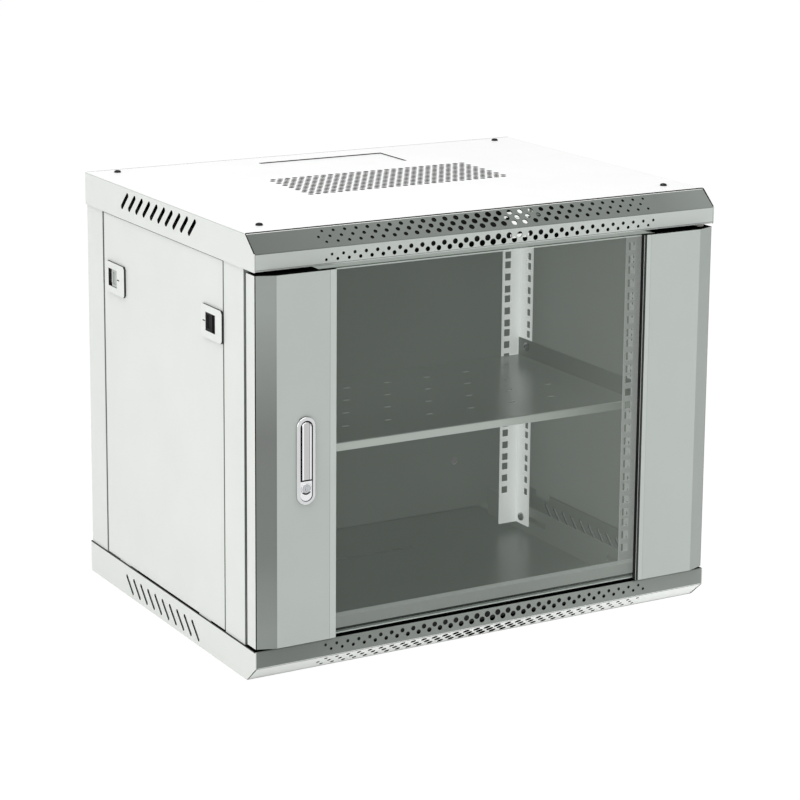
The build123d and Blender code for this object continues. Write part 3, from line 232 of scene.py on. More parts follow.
pale = tone(222, 225, 221)
# near black, for the bands and lines of painted shade below
black = tone(12, 12, 12)
# painted shade: black bands on the fascia's inner lip and on the sill, with a painted lit patch left between
# them
shadeAroundLitPatch = [("X", -132.0, 336.0, black), ("X", 181.0, 240.0, black)]     # light stays between the bands
paint = {
    # painted light: the top is a little lighter than the pale side paint, as light falls from above
    "top": powderCoat("coverLitPaint", tone(230, 231, 230)),
    # pale paint with a grey line of painted shade just under the top fold
    "side": powderCoat("sidePaint", pale, lines=[("Z", 499.2, 0.8, tone(184, 187, 184))]),
    # pale paint with painted shade: a dark line along the top edge and two upright ones in the seams
    "panel": powderCoat("panelPaintAndSeamShade", pale, lines=[
        ("Z", 460.0, 0.9, tone(90, 93, 91)), ("Y", -147.3, 1.8, tone(54, 56, 55)),
        ("Y", 175.4, 3.2, tone(40, 42, 41))]),
    # pale paint with a near-black line of painted shade along the flange's top, in the gap under the panel
    "traySide": powderCoat("trayPaintAndSeamShade", pale, lines=[("Z", 38.4, 1.3, tone(26, 28, 27))]),
    # painted shade: the upper slope is dark grey instead of pale, darkest at the left
    "slope": powderCoat("slopePaintedShade", pale, stops=("X", [
        (-300, tone(80, 86, 81)), (-120, tone(106, 112, 107)),
        (230, tone(106, 112, 107)), (290, tone(122, 128, 123))])),
    # painted shade: the front strip is mid grey instead of pale, darker at the left, with a darker line near
    # its lower fold
    "strip": powderCoat("stripPaintedShade", pale, lines=[("Z", 463.0, 0.6, tone(110, 115, 111))], stops=("X", [
        (-300, tone(186, 192, 187)), (300, tone(203, 209, 205))])),
    # painted light and shade: the inner lip glows nearly white in one patch, with black bands of painted
    # shade round it and along its upper part
    "fasciaLip": powderCoat("fasciaLipPaintedLightAndShade", tone(250, 252, 250), glow=0.8,
                            lines=shadeAroundLitPatch + [("Z", 472.0, 10.0, black)]),
    # painted shade: the lower front strip is dark grey instead of pale, darkest at the left
    "lowStrip": powderCoat("lowStripPaintedShade", pale, stops=("X", [
        (-300, tone(112, 118, 113)), (0, tone(144, 150, 145)), (300, tone(144, 150, 145))])),
    # painted light and shade: the lower slope glows nearly white and is darker towards the left, with dark
    # lines of painted shade at its upper fold and left end
    "lowSlope": powderCoat("lowSlopePaintedLightAndShade", pale, glow=0.2, stops=("X", [
        (-300, tone(206, 209, 206)), (-160, tone(228, 231, 228)), (40, tone(240, 243, 240))]), lines=[
        ("Z", 19.1, 0.9, tone(70, 74, 71)), ("X", -298.2, 1.0, tone(60, 62, 61))]),
    # painted shade: the door's front faces are mid grey instead of pale, lighter to the right
    "door": powderCoat("doorPaintedShade", pale, stops=("X", [
        (-300, tone(183, 190, 185)), (300, tone(193, 200, 195))])),
    # painted shade: darker lines at the folds beside the glass and a black band in the seam at the hinge
    # side
    "doorEdge": powderCoat("doorEdgePaintAndShade", tone(196, 203, 198), lines=[
        ("X", -213.0, 0.7, tone(140, 146, 141)), ("X", 206.0, 0.6, tone(168, 174, 169)),
        ("X", 198.6, 3.6, black)]),
    # painted shade: the lock side's chamfer and the front posts' front faces are mid grey, darkest in the
    # middle of their height
    "doorSlope": powderCoat("doorSlopePaintedShade", pale, stops=("Z", [
        (60, tone(134, 140, 135)), (150, tone(114, 119, 115)),
        (280, tone(110, 114, 111)), (420, tone(146, 152, 147))])),
    # painted shade: the hinge side's chamfer is a little darker than the door's front
    "hingeSlope": powderCoat("hingeSlopePaintedShade", tone(168, 175, 170)),
    # painted light and shade: faces inside the cabinet are a darker grey that glows
    "inside": powderCoat("insidePaintedLightAndShade", tone(128, 134, 128), 0.3, glow=0.42),
    # painted light and shade: the tray's and its cable plate's inner faces are a darker grey that glows
    "trayInside": powderCoat("trayInsidePaintedLightAndShade", tone(120, 126, 120), 0.3, glow=0.3),
    # painted light and shade: the right panel's inner face glows, with a broad black band of painted shade
    # under the top
    "panelInside": powderCoat("panelInsidePaintedLightAndShade", tone(132, 138, 132), glow=0.44, lines=[
        ("Z", 448.0, 70.0, black)]),
    "dark": powderCoat("shadowPaint", tone(10, 11, 10), 0.8, sheen=0.0),
    "frame": powderCoat("framePaint", pale),
    # painted light and shade: the right rear rail glows nearly white, with a black band of painted shade at
    # its top
    "rail": powderCoat("rearRailPaintedLightAndShade", tone(226, 230, 227), glow=0.85, lines=[("Z", 478.0, 26.0, black)]),
    # painted light and shade: the left rails glow, with a black band of painted shade along their upper part
    "leftRail": powderCoat("leftRailPaintedLightAndShade", tone(200, 204, 201), glow=0.36, lines=[
        ("Z", 465.0, 62.0, black)]),
    # painted light and shade: the right front rail glows, with a black band of painted shade at its top
    "frontRail": powderCoat("frontRailPaintedLightAndShade", tone(226, 230, 227), glow=0.36, lines=[
        ("Z", 478.0, 26.0, black)]),
    # painted light and shade: the shelf deck is a darker grey that glows
    "shelf": powderCoat("shelfPaintedLightAndShade", tone(122, 128, 122), 0.22, glow=0.4),
    # painted light and shade: the shelf's flanges are a darker grey that glows
    "shelfFlange": powderCoat("shelfFlangePaintedLightAndShade", tone(112, 118, 112), glow=0.34),
    # painted light: the rims of the shelf's slots glow brighter
    "slotRim": powderCoat("shelfSlotPaintedLight", tone(150, 156, 150), glow=0.62),
    # painted light and shade: the shelf's front lip glows brightly and darkens towards the right
    "lip": powderCoat("shelfLipPaintedLightAndShade", pale, glow=1.15, stops=("X", [
        (60, tone(190, 197, 191)), (230, tone(104, 110, 104))])),
    # painted light and shade: the back wall's and rear posts' inner faces glow, with a broad black band of
    # painted shade at the top
    "backWall": powderCoat("backWallPaintedLightAndShade", tone(128, 134, 128), glow=0.44, lines=[
        ("Z", 437.0, 128.0, black)]),
    # painted light and shade: the top sill glows nearly white in one patch, with black bands of painted
    # shade round it and a grey band of painted shade across its front
    "topSill": powderCoat("topSillPaintedLightAndShade", tone(250, 252, 250), glow=0.9,
                          lines=shadeAroundLitPatch + [("Z", 452.0, 9.0, tone(150, 156, 151))]),
    # painted light and shade: the bottom sill glows, with a broad black band of painted shade low down
    "bottomSill": powderCoat("bottomSillPaintedLightAndShade", tone(170, 176, 171), glow=0.7, lines=[
        ("Z", 24.0, 26.4, black)]),
}
blackSteel = metal("blackSteel", tone(38, 38, 40), 0.38)
zinc = metal("zincSteel", tone(196, 198, 200), 0.32)
pinSteel = metal("pinSteel", tone(205, 206, 208), 0.2)
upright = (1, 1, 0.15)     # brushed up and down
chrome = metal("lockChrome", tone(212, 213, 214), 0.16, upright)
# painted light: a lighter copy of the lock chrome for the block round the key
litChrome = metal("keyBlockLitChrome", tone(232, 233, 234), 0.16, upright)
keyChrome = metal("keyChrome", tone(188, 190, 193), 0.2)
# painted shade: a near-black copy of the lock chrome for the recess round the lever and the collar's lower
# part
lockShadow = metal("lockRecess", tone(34, 35, 36), 0.4)
# painted highlights and shade: a dark line in the gap at the lever's left, white highlights down both sides
# and a grey line between
leverChrome = metal("leverChrome", tone(196, 195, 195), 0.3, upright, [
    ("X", -249.1, 1.6, tone(20, 20, 21)), ("X", -247.4, 1.8, tone(244, 245, 246)),
    ("X", -239.6, 0.6, tone(120, 120, 122)), ("X", -237.9, 2.6, tone(238, 239, 240))])
# near black, for the latch bezels' side walls
bezelSideDark = moulded("bezelSideDark", tone(24, 25, 25))
greyPlastic = moulded("greyPlastic", tone(182, 186, 182))
palePlastic = moulded("palePlastic", tone(226, 229, 225), 0.4)
# painted shade: the front latch is matt near black, so that its window looks dark like an empty hole
frontLatchShade = moulded("frontLatchShadePlastic", tone(8, 8, 8), 0.8)
nylon = moulded("nylon", tone(232, 230, 222), 0.5)
tape = moulded("bondingTape", tone(34, 36, 36), 0.7)

tint = {
    "shades": (tone(60, 68, 62), tone(68, 76, 70)), "far": tone(124, 131, 124), "fade": (30, 170),
    "cloud": 120.0, "cover": 0.27, "coverPatch": 150.0, "coverSwing": 0.04, "rim": tone(196, 203, 198),
    "rimBand": 3.0, "rimCover": 0.45, "roughness": 0.045, "gloss": 60.0, "swing": 0.03,
}


def tintedGlass():
    # smoked glass that is lighter to the right, with brighter rims at its foot and head
    finish = Finish("tintedGlass", {"IOR": 1.5, "Specular IOR Level": 0.5})
    pane = Box("door_glass")
    rims = finish.band("Z", pane.bottom, tint["rimBand"]) + finish.band("Z", pane.top, tint["rimBand"])
    start, end = tint["fade"]
    tints = [finish.graded("X", [(start, shade), (end, tint["far"])]) for shade in tint["shades"]]
    smoked = finish.blend(finish.noise(tint["cloud"]), *tints)
    finish.feed("Base Color", finish.blend(rims, smoked, tint["rim"]))
    finish.gloss(tint["roughness"], finish.noise(tint["gloss"]), tint["swing"])
    cover = tint["cover"] + finish.noise(tint["coverPatch"]) * tint["coverSwing"]
    finish.feed("Alpha", cover + rims * tint["rimCover"])
    return finish


edgeLook = {"shades": (tone(120, 140, 128), tone(150, 168, 156)), "cloud": 30.0, "roughness": 0.2,
            "gloss": 8.0, "swing": 0.1}


def cutGlass():
    # the ground edge of the pane
    finish = Finish("glassEdge", {"IOR": 1.5})
    finish.feed("Base Color", finish.blend(finish.noise(edgeLook["cloud"]), *edgeLook["shades"]))
    finish.gloss(edgeLook["roughness"], finish.noise(edgeLook["gloss"]), edgeLook["swing"])
    return finish


glass = tintedGlass()
glassEdge = cutGlass()
print("finishes made")


def turnedBy(degrees, axis="Z"):
    return Matrix.Rotation(math.radians(degrees), 4, axis)


def placed(name, data):
    made = bpy.data.objects.new(name, data)
    bpy.context.scene.collection.objects.link(made)
    return made


def makePiece(name, shape, body, finishes, stands=(), wall=0.0, offset=0, rim=0):
    # shape is in millimetres; a wall grows inwards from the shape's faces
    # the wall's inner faces and rims take the finishes that stand that many places further on
    bmesh.ops.scale(shape, vec=(mm, mm, mm), verts=shape.verts)
    mesh = bpy.data.meshes.new(name)
    shape.to_mesh(mesh)
    shape.free()
    piece = placed(name, mesh)
    for finish in finishes:
        mesh.materials.append(finish.material)
    if wall:
        thicken = piece.modifiers.new("wall", "SOLIDIFY")
        thicken.thickness = wall * mm
        thicken.offset = -1
        thicken.use_even_offset = True
        thicken.material_offset = offset
        thicken.material_offset_rim = rim
    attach(piece, body)
    if stands:
        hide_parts(*stands)


def polygonArea(outline):
    return abs(sum(x0 * y1 - x1 * y0 for (x0, y0), (x1, y1) in zip(outline, outline[1:] + outline[:1]))) / 2


def holeArea(radius, sides, reach):
    # a ring of straight sides, with its halves drawn apart by the reach
    ring = sides / 2 * radius ** 2 * math.sin(math.tau / sides)
    return ring + 4 * reach * radius * math.cos(math.pi / sides)


fillAngles = (0.7, 1.2, 0.3, 1.571, 0.5, 0.9, 1.05, 0.15, 1.4)     # radians
areaSlack = 1     # square millimetres


def flatSheet(outline, holes=()):
    # a sheet laid flat: holes are (across, along, radius, sides, reach, turn in degrees)
    wanted = polygonArea(outline) - sum(holeArea(*hole[2:5]) for hole in holes)
    for askew in fillAngles:
        # the fill can slip where many points line up, so it is tried again until the area is right
        sheet = bmesh.new()
        corners = [sheet.verts.new((across, along, 0)) for across, along in outline]
        for first, second in zip(corners, corners[1:] + corners[:1]):
            sheet.edges.new((first, second))
        for across, along, radius, sides, reach, turn in holes:
            ring = bmesh.ops.create_circle(sheet, segments=sides, radius=radius,
                                           matrix=Matrix.Rotation(math.pi / sides, 4, "Z"))["verts"]
            for vert in ring if reach else ():
                vert.co.x += math.copysign(reach, vert.co.x)
            place = Matrix.Translation((across, along, 0)) @ turnedBy(turn)
            bmesh.ops.transform(sheet, matrix=place, verts=ring)
        bmesh.ops.rotate(sheet, verts=sheet.verts, cent=(0, 0, 0), matrix=Matrix.Rotation(askew, 3, "Z"))
        bmesh.ops.triangle_fill(sheet, use_beauty=True, use_dissolve=False, edges=sheet.edges[:])
        bmesh.ops.rotate(sheet, verts=sheet.verts, cent=(0, 0, 0), matrix=Matrix.Rotation(-askew, 3, "Z"))
        if abs(sum(face.calc_area() for face in sheet.faces) - wanted) < areaSlack:
            break
        sheet.free()
    bmesh.ops.reverse_faces(sheet, faces=[face for face in sheet.faces if face.normal.z < 0])
    return sheet


def cutLine(shape, point, normal, **choices):
    # a straight cut all through the shape
    bmesh.ops.bisect_plane(shape, geom=shape.verts[:] + shape.edges[:] + shape.faces[:],
                           plane_co=point, plane_no=normal, **choices)


cutMerge = 1e-5     # points nearer than this to a cut are taken onto it
onFold = 1e-4       # a face this near to a fold counts as past it


class Folding:
    # unrolls the outer face of a bent sheet, so that it can be punched flat and folded after
    def __init__(self, corners, radius=1.5, steps=4):
        points = [Vector(corner) for corner in corners]
        ways = [(end - start).normalized() for start, end in zip(points, points[1:])]
        self.runs = [(0.0, points[0], ways[0])]     # flat place of the sharp corner, corner, way
        self.arcs = []
        self.starts = [0.0]
        flat = 0.0
        spent = 0.0
        for number, corner in enumerate(points[1:-1]):
            before, after = ways[number], ways[number + 1]
            turn = math.atan2(before.x * after.y - before.y * after.x, before.dot(after))
            back = radius * math.tan(abs(turn) / 2)
            flat += (corner - points[number]).length - spent - back
            side = 1 if turn > 0 else -1
            centre = corner - before * back + Vector((-before.y, before.x)) * radius * side
            self.arcs.append((flat, radius * abs(turn), centre, corner - before * back - centre, side))
            flat += radius * abs(turn)
            self.runs.append((flat - back, corner, after))
            self.starts.append(flat)
            spent = back
        self.length = flat + (points[-1] - points[-2]).length - spent
        self.radius = radius
        self.steps = steps

    def point(self, flat):
        for start, length, centre, spoke, side in self.arcs:
            if start <= flat <= start + length:
                return centre + Matrix.Rotation(side * (flat - start) / self.radius, 2) @ spoke
        base, corner, way = self.runs[self.run(flat)]
        return corner + way * (flat - base)

    def run(self, flat):
        # the number of the flat stretch that a flat place belongs to
        return max(0, sum(flat >= start - onFold for start in self.starts) - 1)

    def fold(self, sheet, inks, place, flip):
        # inks gives each stretch its finish
        for start, length, centre, spoke, side in self.arcs:
            for step in range(self.steps + 1):
                cutLine(sheet, (0, start + length * step / self.steps, 0), (0, 1, 0), dist=cutMerge)
        for face in sheet.faces:
            face.material_index = inks[self.run(face.calc_center_median().y)]
        for vert in sheet.verts:
            bent = self.point(vert.co.y)
            vert.co = place @ Vector((vert.co.x, bent.x, bent.y))
        if flip:
            bmesh.ops.reverse_faces(sheet, faces=sheet.faces[:])
        return sheet


def joined(first, second):
    # adds the second shape to the first
    mesh = bpy.data.meshes.new("joining")
    second.to_mesh(mesh)
    first.from_mesh(mesh)
    bpy.data.meshes.remove(mesh)
    second.free()
    return first


coverBox = Box("top_cover")
asDrawn = Matrix.Identity(4)     # length on X, bends in Y and Z
lengthOnY = Matrix(((0, 1, 0, 0), (1, 0, 0, 0), (0, 0, 1, 0), (0, 0, 0, 1)))
lengthOnZ = Matrix(((0, 1, 0, 0), (0, 0, 1, 0), (1, 0, 0, 0), (0, 0, 0, 1)))
upsideDown = Matrix.Translation((0, 0, coverBox.top)) @ Matrix.Scale(-1, 4, (0, 0, 1))
otherHand = Matrix.Scale(-1, 4, (1, 0, 0))


fascia = {
    "sheet": 1.2,
    "slopeDepth": 21.585, "bandHeight": 19.5, "lipDepth": 28.0, "lipHeight": 12.0,
    "pitch": 14.0, "columns": 31, "holeSides": 14,
    "slopeMiddle": 13.22,     # from the upper bend to the middle row
    "slopeRows": [(-7.5, -210.0), (0.0, -217.0), (7.5, -210.0)],     # place on the slope, first hole
    "bandRows": [(7.9, -206.5), (13.3, -213.5)],
    "holes": (3.3, 7.4),     # the diameters at the ends and in the middle
    "lowSlopeHoles": (4.2, 8.9),
    "bushHole": 4.5, "bushSides": 16,
}


def fasciaSheet(place, flip, inks, slopeHoles):
    box = Box("top_fascia")
    lipBack = box.front + fascia["lipDepth"]
    plan = Folding([
        (box.rear, box.top), (box.front + fascia["slopeDepth"], box.top),
        (box.front, box.bottom + fascia["bandHeight"]), (box.front, box.bottom),
        (lipBack, box.bottom), (lipBack, box.bottom + fascia["lipHeight"]),
    ])
    slopeStart, bandStart, lipStart = (plan.runs[number][0] for number in (1, 2, 3))
    slopeMiddle = slopeStart + fascia["slopeMiddle"]
    rows = [(slopeMiddle + drop, start, slopeHoles) for drop, start in fascia["slopeRows"]]
    rows += [(bandStart + drop, start, fascia["holes"]) for drop, start in fascia["bandRows"]]
    middle = (fascia["columns"] - 1) / 2
    holes = []
    for along, start, (small, large) in rows:
        for column in range(fascia["columns"]):
            size = small + (1 - abs(column - middle) / middle) * (large - small)
            holes.append((start + column * fascia["pitch"], along, size / 2, fascia["holeSides"], 0, 0))
    bush = Box("hinge_bushes")
    bushX, bushY = (bush.left + bush.right) / 2, (bush.front + bush.rear) / 2
    holes.append((bushX, lipStart + bushY - box.front, fascia["bushHole"], fascia["bushSides"], 0, 0))
    outline = [(box.left, 0), (box.right, 0), (box.right, plan.length), (box.left, plan.length)]
    return plan.fold(flatSheet(outline, holes), inks, place, flip)


dark = [paint["dark"]]
topShape = fasciaSheet(asDrawn, True, [0, 1, 2, 2, 3], fascia["holes"])
topFinishes = [paint["side"], paint["slope"], paint["strip"]] + dark * 4 + [paint["fasciaLip"]] + dark * 4
makePiece("topFasciaSheet", topShape, "cabinet", topFinishes, ["top_fascia"],
          fascia["sheet"], 4, 8)
lowShape = fasciaSheet(upsideDown @ asDrawn, False, [0, 1, 2, 3, 3], fascia["lowSlopeHoles"])
lowFinishes = [paint["side"], paint["lowSlope"], paint["lowStrip"]] + dark * 5
makePiece("bottomFasciaSheet", lowShape, "cabinet", lowFinishes, ["bottom_fascia"],
          fascia["sheet"], 4, 4)
print("fascias punched and folded")


cover = {
    "sheet": 1.2,
    "noseDepth": 23.0, "noseDrop": 19.5,     # the side flanges reach over the fascia's ends
    "rimStrip": 0.6, "rearInset": 1.5,
    "ventPitch": 9.66, "ventStep": 8.0, "ventRows": 14, "ventColumns": 28, "ventHole": 6.9, "ventSides": 10,
    "ventX": -129.0, "ventY": -29.5,
    "slots": 10, "slotPitch": 20.2, "slotLength": 28.0, "slotY": 18.0, "slotDrop": 16.4, "slotSides": 14,
    "slotWidth": 6.0, "traySlotWidth": 4.6, "slotLeans": (135, 45),
    "entry": (-86.0, 86.0, 122.0, 189.0),     # left, right, front and rear edge
}


def ventHoles(plate):
    holes = []
    for row in range(cover["ventRows"]):
        for column in range(cover["ventColumns"]):
            across = cover["ventX"] + (column + (row % 2) / 2) * cover["ventPitch"]
            along = cover["ventY"] + row * cover["ventStep"]
            holes.append((along, plate + across, cover["ventHole"] / 2, cover["ventSides"], 0, 0))
    return holes


def slotHoles(drops, slotWidth):
    # drops gives the flat place of the slots' middles in each side flange
    holes = []
    for spot in range(cover["slots"]):
        along = cover["slotY"] + (spot - (cover["slots"] - 1) / 2) * cover["slotPitch"]
        reach = (cover["slotLength"] - slotWidth) / 2
        for flat, turn in zip(drops, cover["slotLeans"]):
            holes.append((along, flat, slotWidth / 2, cover["slotSides"], reach, turn))
    return holes


def coverSheet(place, flip, vented, slotWidth):
    box = coverBox
    plan = Folding([
        (box.left, box.bottom), (box.left, box.top), (box.right, box.top), (box.right, box.bottom)])
    plate = plan.runs[1][0] + box.right
    edge = plan.length
    flange = box.top - box.bottom
    nose, back = box.front, box.rear
    front = nose + cover["noseDepth"]
    noseEnd = flange - cover["noseDrop"]
    bend = plan.starts[1]
    outline = [
        (nose, 0), (nose, noseEnd), (front, bend), (front, edge - bend), (nose, edge - noseEnd),
        (nose, edge), (back, edge), (back, 0),
    ]
    slotDrop = flange - cover["slotDrop"]
    holes = (ventHoles(plate) if vented else []) + slotHoles((slotDrop, edge - slotDrop), slotWidth)
    sheet = flatSheet(outline, holes)
    left, right, low, high = cover["entry"]
    noseRim, frontRim = nose + cover["rimStrip"], front + cover["rimStrip"]
    for spot in (left, right):
        cutLine(sheet, (0, plate + spot, 0), (0, 1, 0), dist=cutMerge)
    for spot in (low, high, noseRim, frontRim):
        cutLine(sheet, (spot, 0, 0), (1, 0, 0), dist=cutMerge)
    middles = [(face, face.calc_center_median()) for face in sheet.faces]
    window = [face for face, middle in middles if low < middle.x < high and left < middle.y - plate < right]
    bmesh.ops.delete(sheet, geom=window, context="FACES")
    shape = plan.fold(sheet, [0, 1, 0], place @ lengthOnY, flip)
    for face in shape.faces:
        depth = face.calc_center_median().y
        if depth < noseRim or (not vented and depth < frontRim and face.material_index):
            face.material_index = 2     # the front rims are pale like the sides
    rearLeft, rearRight = box.left + cover["rearInset"], box.right - cover["rearInset"]
    rear = flatSheet([
        (rearLeft, box.bottom), (rearRight, box.bottom), (rearRight, box.top), (rearLeft, box.top)])
    stand = Matrix(((1, 0, 0, 0), (0, 0, 1, back), (0, 1, 0, 0), (0, 0, 0, 1)))
    bmesh.ops.transform(rear, matrix=place @ stand, verts=rear.verts)
    if flip:
        bmesh.ops.reverse_faces(rear, faces=rear.faces[:])
    return joined(shape, rear)


topFinishes = [paint["side"], paint["top"], paint["side"]] + dark * 5 + [paint["side"]]
makePiece("topCoverSheet", coverSheet(asDrawn, True, True, cover["slotWidth"]), "cabinet", topFinishes,
          ["top_cover"], cover["sheet"], 3, 6)
trayFinishes = [paint["traySide"], paint["frame"], paint["traySide"]] + [paint["trayInside"]] * 3
trayFinishes += dark * 2 + [paint["side"]]
makePiece("bottomTraySheet", coverSheet(upsideDown, False, False, cover["traySlotWidth"]), "cabinet",
          trayFinishes, ["bottom_tray"], cover["sheet"], 3, 6)
print("covers punched and folded")


rail = {"sheet": 2.0, "bend": 2.3, "hole": 9.5, "unit": 44.45, "step": 15.875, "units": 9,
        "faceInset": 7.55, "sideInset": 7.5}     # from the free edges to the middles of the holes


def railSheet(end, place, flip):
    # the face with the hole rows stands across at the front of the front rails and the rear of the rear ones
    box = Box(end + "_rail_left")
    if end == "front":
        corners = [(box.left, box.rear), (box.left, box.front), (box.right, box.front)]
        faceRun, sideRun, sideHoleY = 1, 0, box.rear - rail["sideInset"]
    else:
        corners = [(box.right, box.rear), (box.left, box.rear), (box.left, box.front)]
        faceRun, sideRun, sideHoleY = 0, 1, box.front + rail["sideInset"]
    plan = Folding(corners, rail["bend"])
    faceBase, corner, way = plan.runs[faceRun]
    faceFlat = faceBase + abs(box.right - rail["faceInset"] - corner.x)
    sideBase, corner, way = plan.runs[sideRun]
    sideFlat = sideBase + abs(sideHoleY - corner.y)
    middle = (box.bottom + box.top) / 2
    holes = []
    for unit in range(rail["units"]):
        for spot in (-1, 0, 1):
            height = middle + (unit - (rail["units"] - 1) / 2) * rail["unit"] + spot * rail["step"]
            for flat in (faceFlat, sideFlat):
                holes.append((height, flat, rail["hole"] / math.sqrt(2), 4, 0, 0))
    outline = [(box.bottom, 0), (box.top, 0), (box.top, plan.length), (box.bottom, plan.length)]
    return plan.fold(flatSheet(outline, holes), [0, 0], place @ lengthOnZ, flip)


for end, finish in (("front", paint["frontRail"]), ("rear", paint["rail"])):
    makePiece(end + "RailLeftSheet", railSheet(end, asDrawn, True), "cabinet", [paint["leftRail"]],
              [end + "_rail_left"], rail["sheet"])
    makePiece(end + "RailRightSheet", railSheet(end, otherHand, False), "cabinet", [finish],
              [end + "_rail_right"], rail["sheet"])
print("rails punched and folded")


shelf = {
    "sheet": 1.2, "bend": 1.5, "lipDrop": 8.9, "lipBend": 1.0, "lipLap": 3.0, "lipInset": 1.4,
    "slotRows": [(66.3, 8), (15.7, 7), (-34.9, 8), (-85.5, 7)],     # the row's Y, slots in the row
    "slotPitch": 56.6, "slotRadius": 2.0, "slotReach": 2.6, "slotSides": 12,
}


def shelfDeck(box, deckZ):
    plan = Folding([(box.left, box.top), (box.left, deckZ), (box.right, deckZ), (box.right, box.top)],
                   shelf["bend"])
    middle = plan.runs[1][0] + box.right
    holes = []
    for along, count in shelf["slotRows"]:
        for number in range(count):
            across = (number - (count - 1) / 2) * shelf["slotPitch"]
            holes.append((along, middle + across, shelf["slotRadius"], shelf["slotSides"],
                          shelf["slotReach"], 90))
    outline = [(box.front, 0), (box.rear, 0), (box.rear, plan.length), (box.front, plan.length)]
    return plan.fold(flatSheet(outline, holes), [2, 0, 2], lengthOnY, False)


def shelfLip(box, deckZ):
    plan = Folding([(box.front + shelf["lipLap"], deckZ), (box.front, deckZ), (box.front, box.bottom)],
                   shelf["lipBend"])
    reach = box.right - shelf["lipInset"]
    outline = [(-reach, 0), (reach, 0), (reach, plan.length), (-reach, plan.length)]
    return plan.fold(flatSheet(outline), [0, 0], asDrawn, True)


shelfBox = Box("shelf")
deckZ = shelfBox.bottom + shelf["lipDrop"]
makePiece("shelfDeck", shelfDeck(shelfBox, deckZ), "cabinet",
          [paint["shelf"], paint["slotRim"]] + [paint["shelfFlange"]] * 2, ["shelf"],
          shelf["sheet"], 0, 1)
makePiece("shelfLip", shelfLip(shelfBox, deckZ), "cabinet", [paint["lip"]], [],
          shelf["sheet"])
print("shelf folded")


spinMerge = 0.001     # points of a turned shape closer than this are one, in millimetres
onRim = 1e-4          # a point this near to a block's front is on its rim


def turned(profile, sides):
    # spins (radius, height) points about Z
    shape = bmesh.new()
    points = [shape.verts.new((radius, 0, height)) for radius, height in profile]
    edges = [shape.edges.new(pair) for pair in zip(points, points[1:])]
    bmesh.ops.spin(shape, geom=points + edges, axis=(0, 0, 1), cent=(0, 0, 0), angle=math.tau,
                   steps=sides, use_merge=True)
    bmesh.ops.remove_doubles(shape, verts=shape.verts, dist=spinMerge)
    bmesh.ops.recalc_face_normals(shape, faces=shape.faces)
    for face in shape.faces:
        face.smooth = True
    return shape


def carve(shape, cutter):
    # the shape less the cutter
    pair = []
    for name, source in (("carved", shape), ("cutter", cutter)):
        mesh = bpy.data.meshes.new(name)
        source.to_mesh(mesh)
        source.free()
        pair.append(placed(name, mesh))
    cut = pair[0].modifiers.new("cut", "BOOLEAN")
    cut.operation = "DIFFERENCE"
    cut.solver = "EXACT"
    cut.object = pair[1]
    bpy.context.view_layer.update()
    ready = bpy.data.meshes.new_from_object(pair[0].evaluated_get(bpy.context.evaluated_depsgraph_get()))
    result = bmesh.new()
    result.from_mesh(ready)
    bpy.data.meshes.remove(ready)
    for spent in pair:
        mesh = spent.data
        bpy.data.objects.remove(spent)
        bpy.data.meshes.remove(mesh)
    return result


panProfileShares = [(0, 1), (0.45, 0.98), (0.75, 0.84), (0.93, 0.55), (1, 0.2), (1, 0)]
crossShares = (1.15, 0.26, 1.2)     # the recess's length and width by the radius, its depth by the height
headSides = 24


def panHead(radius, height, shank, reach):
    # a pan head with a cross recess, its face towards +Z, on a plain shank
    dome = [(radius * out, height * up) for out, up in panProfileShares]
    head = turned(dome + [(shank, 0), (shank, -reach), (0, -reach)], headSides)
    length, width, depth = crossShares
    for turn in (0, 90):
        blade = bmesh.new()
        size = Matrix.Diagonal((radius * length, radius * width, height * depth, 1))
        place = turnedBy(turn) @ Matrix.Translation((0, 0, height))
        bmesh.ops.create_cube(blade, size=1, matrix=place @ size)
        head = carve(head, blade)
    return head


def repeated(shape, places):
    # copies of one shape at several places, as one shape
    source = bpy.data.meshes.new("source")
    shape.to_mesh(source)
    shape.free()
    result = bmesh.new()
    for place in places:
        before = len(result.verts)
        result.from_mesh(source)
        result.verts.ensure_lookup_table()
        bmesh.ops.transform(result, matrix=place, verts=result.verts[before:])
    bpy.data.meshes.remove(source)
    return result


# each head is its radius, its height, its shank's radius and length; turn is where the cross starts
coverScrew = {"x": 266.0, "y": (-170.0, 206.0), "head": (4.2, 2.6, 2.0, 7.0), "turn": 25}
railBolt = {"x": 251.0, "y": (-142.9, 102.2), "z": (21.0, 479.0), "head": (5.5, 4.0, 3.0, 10.0), "turn": 20}
nut = {"x": 254.5, "bore": 3.0, "radius": 5.8, "chamfer": 0.6, "height": 5.0, "sides": 6}
shelfScrew = {"x": 249.5, "y": (-135.5, 94.8), "z": (250.0,), "head": (5.4, 3.2, 3.0, 10.0), "turn": 35}
inwards = {side: turnedBy(-90 * side, "Y") for side in (1, -1)}


def sideHeads(screw):
    # heads on both sides of the rack that face its middle
    places = [Matrix.Translation((side * screw["x"], y, z)) @ inwards[side] @ turnedBy(screw["turn"] + y)
              for side in (-1, 1) for y in screw["y"] for z in screw["z"]]
    return repeated(panHead(*screw["head"]), places)


def nuts():
    bore, radius, height, chamfer = (nut[key] for key in ("bore", "radius", "height", "chamfer"))
    profile = [(bore, 0), (radius - chamfer, 0), (radius, chamfer), (radius, height - chamfer),
               (radius - chamfer, height), (bore, height), (bore, 0)]
    places = [Matrix.Translation((side * nut["x"], y, z)) @ inwards[-side]
              for side in (-1, 1) for y in railBolt["y"] for z in railBolt["z"]]
    return repeated(turned(profile, nut["sides"]), places)


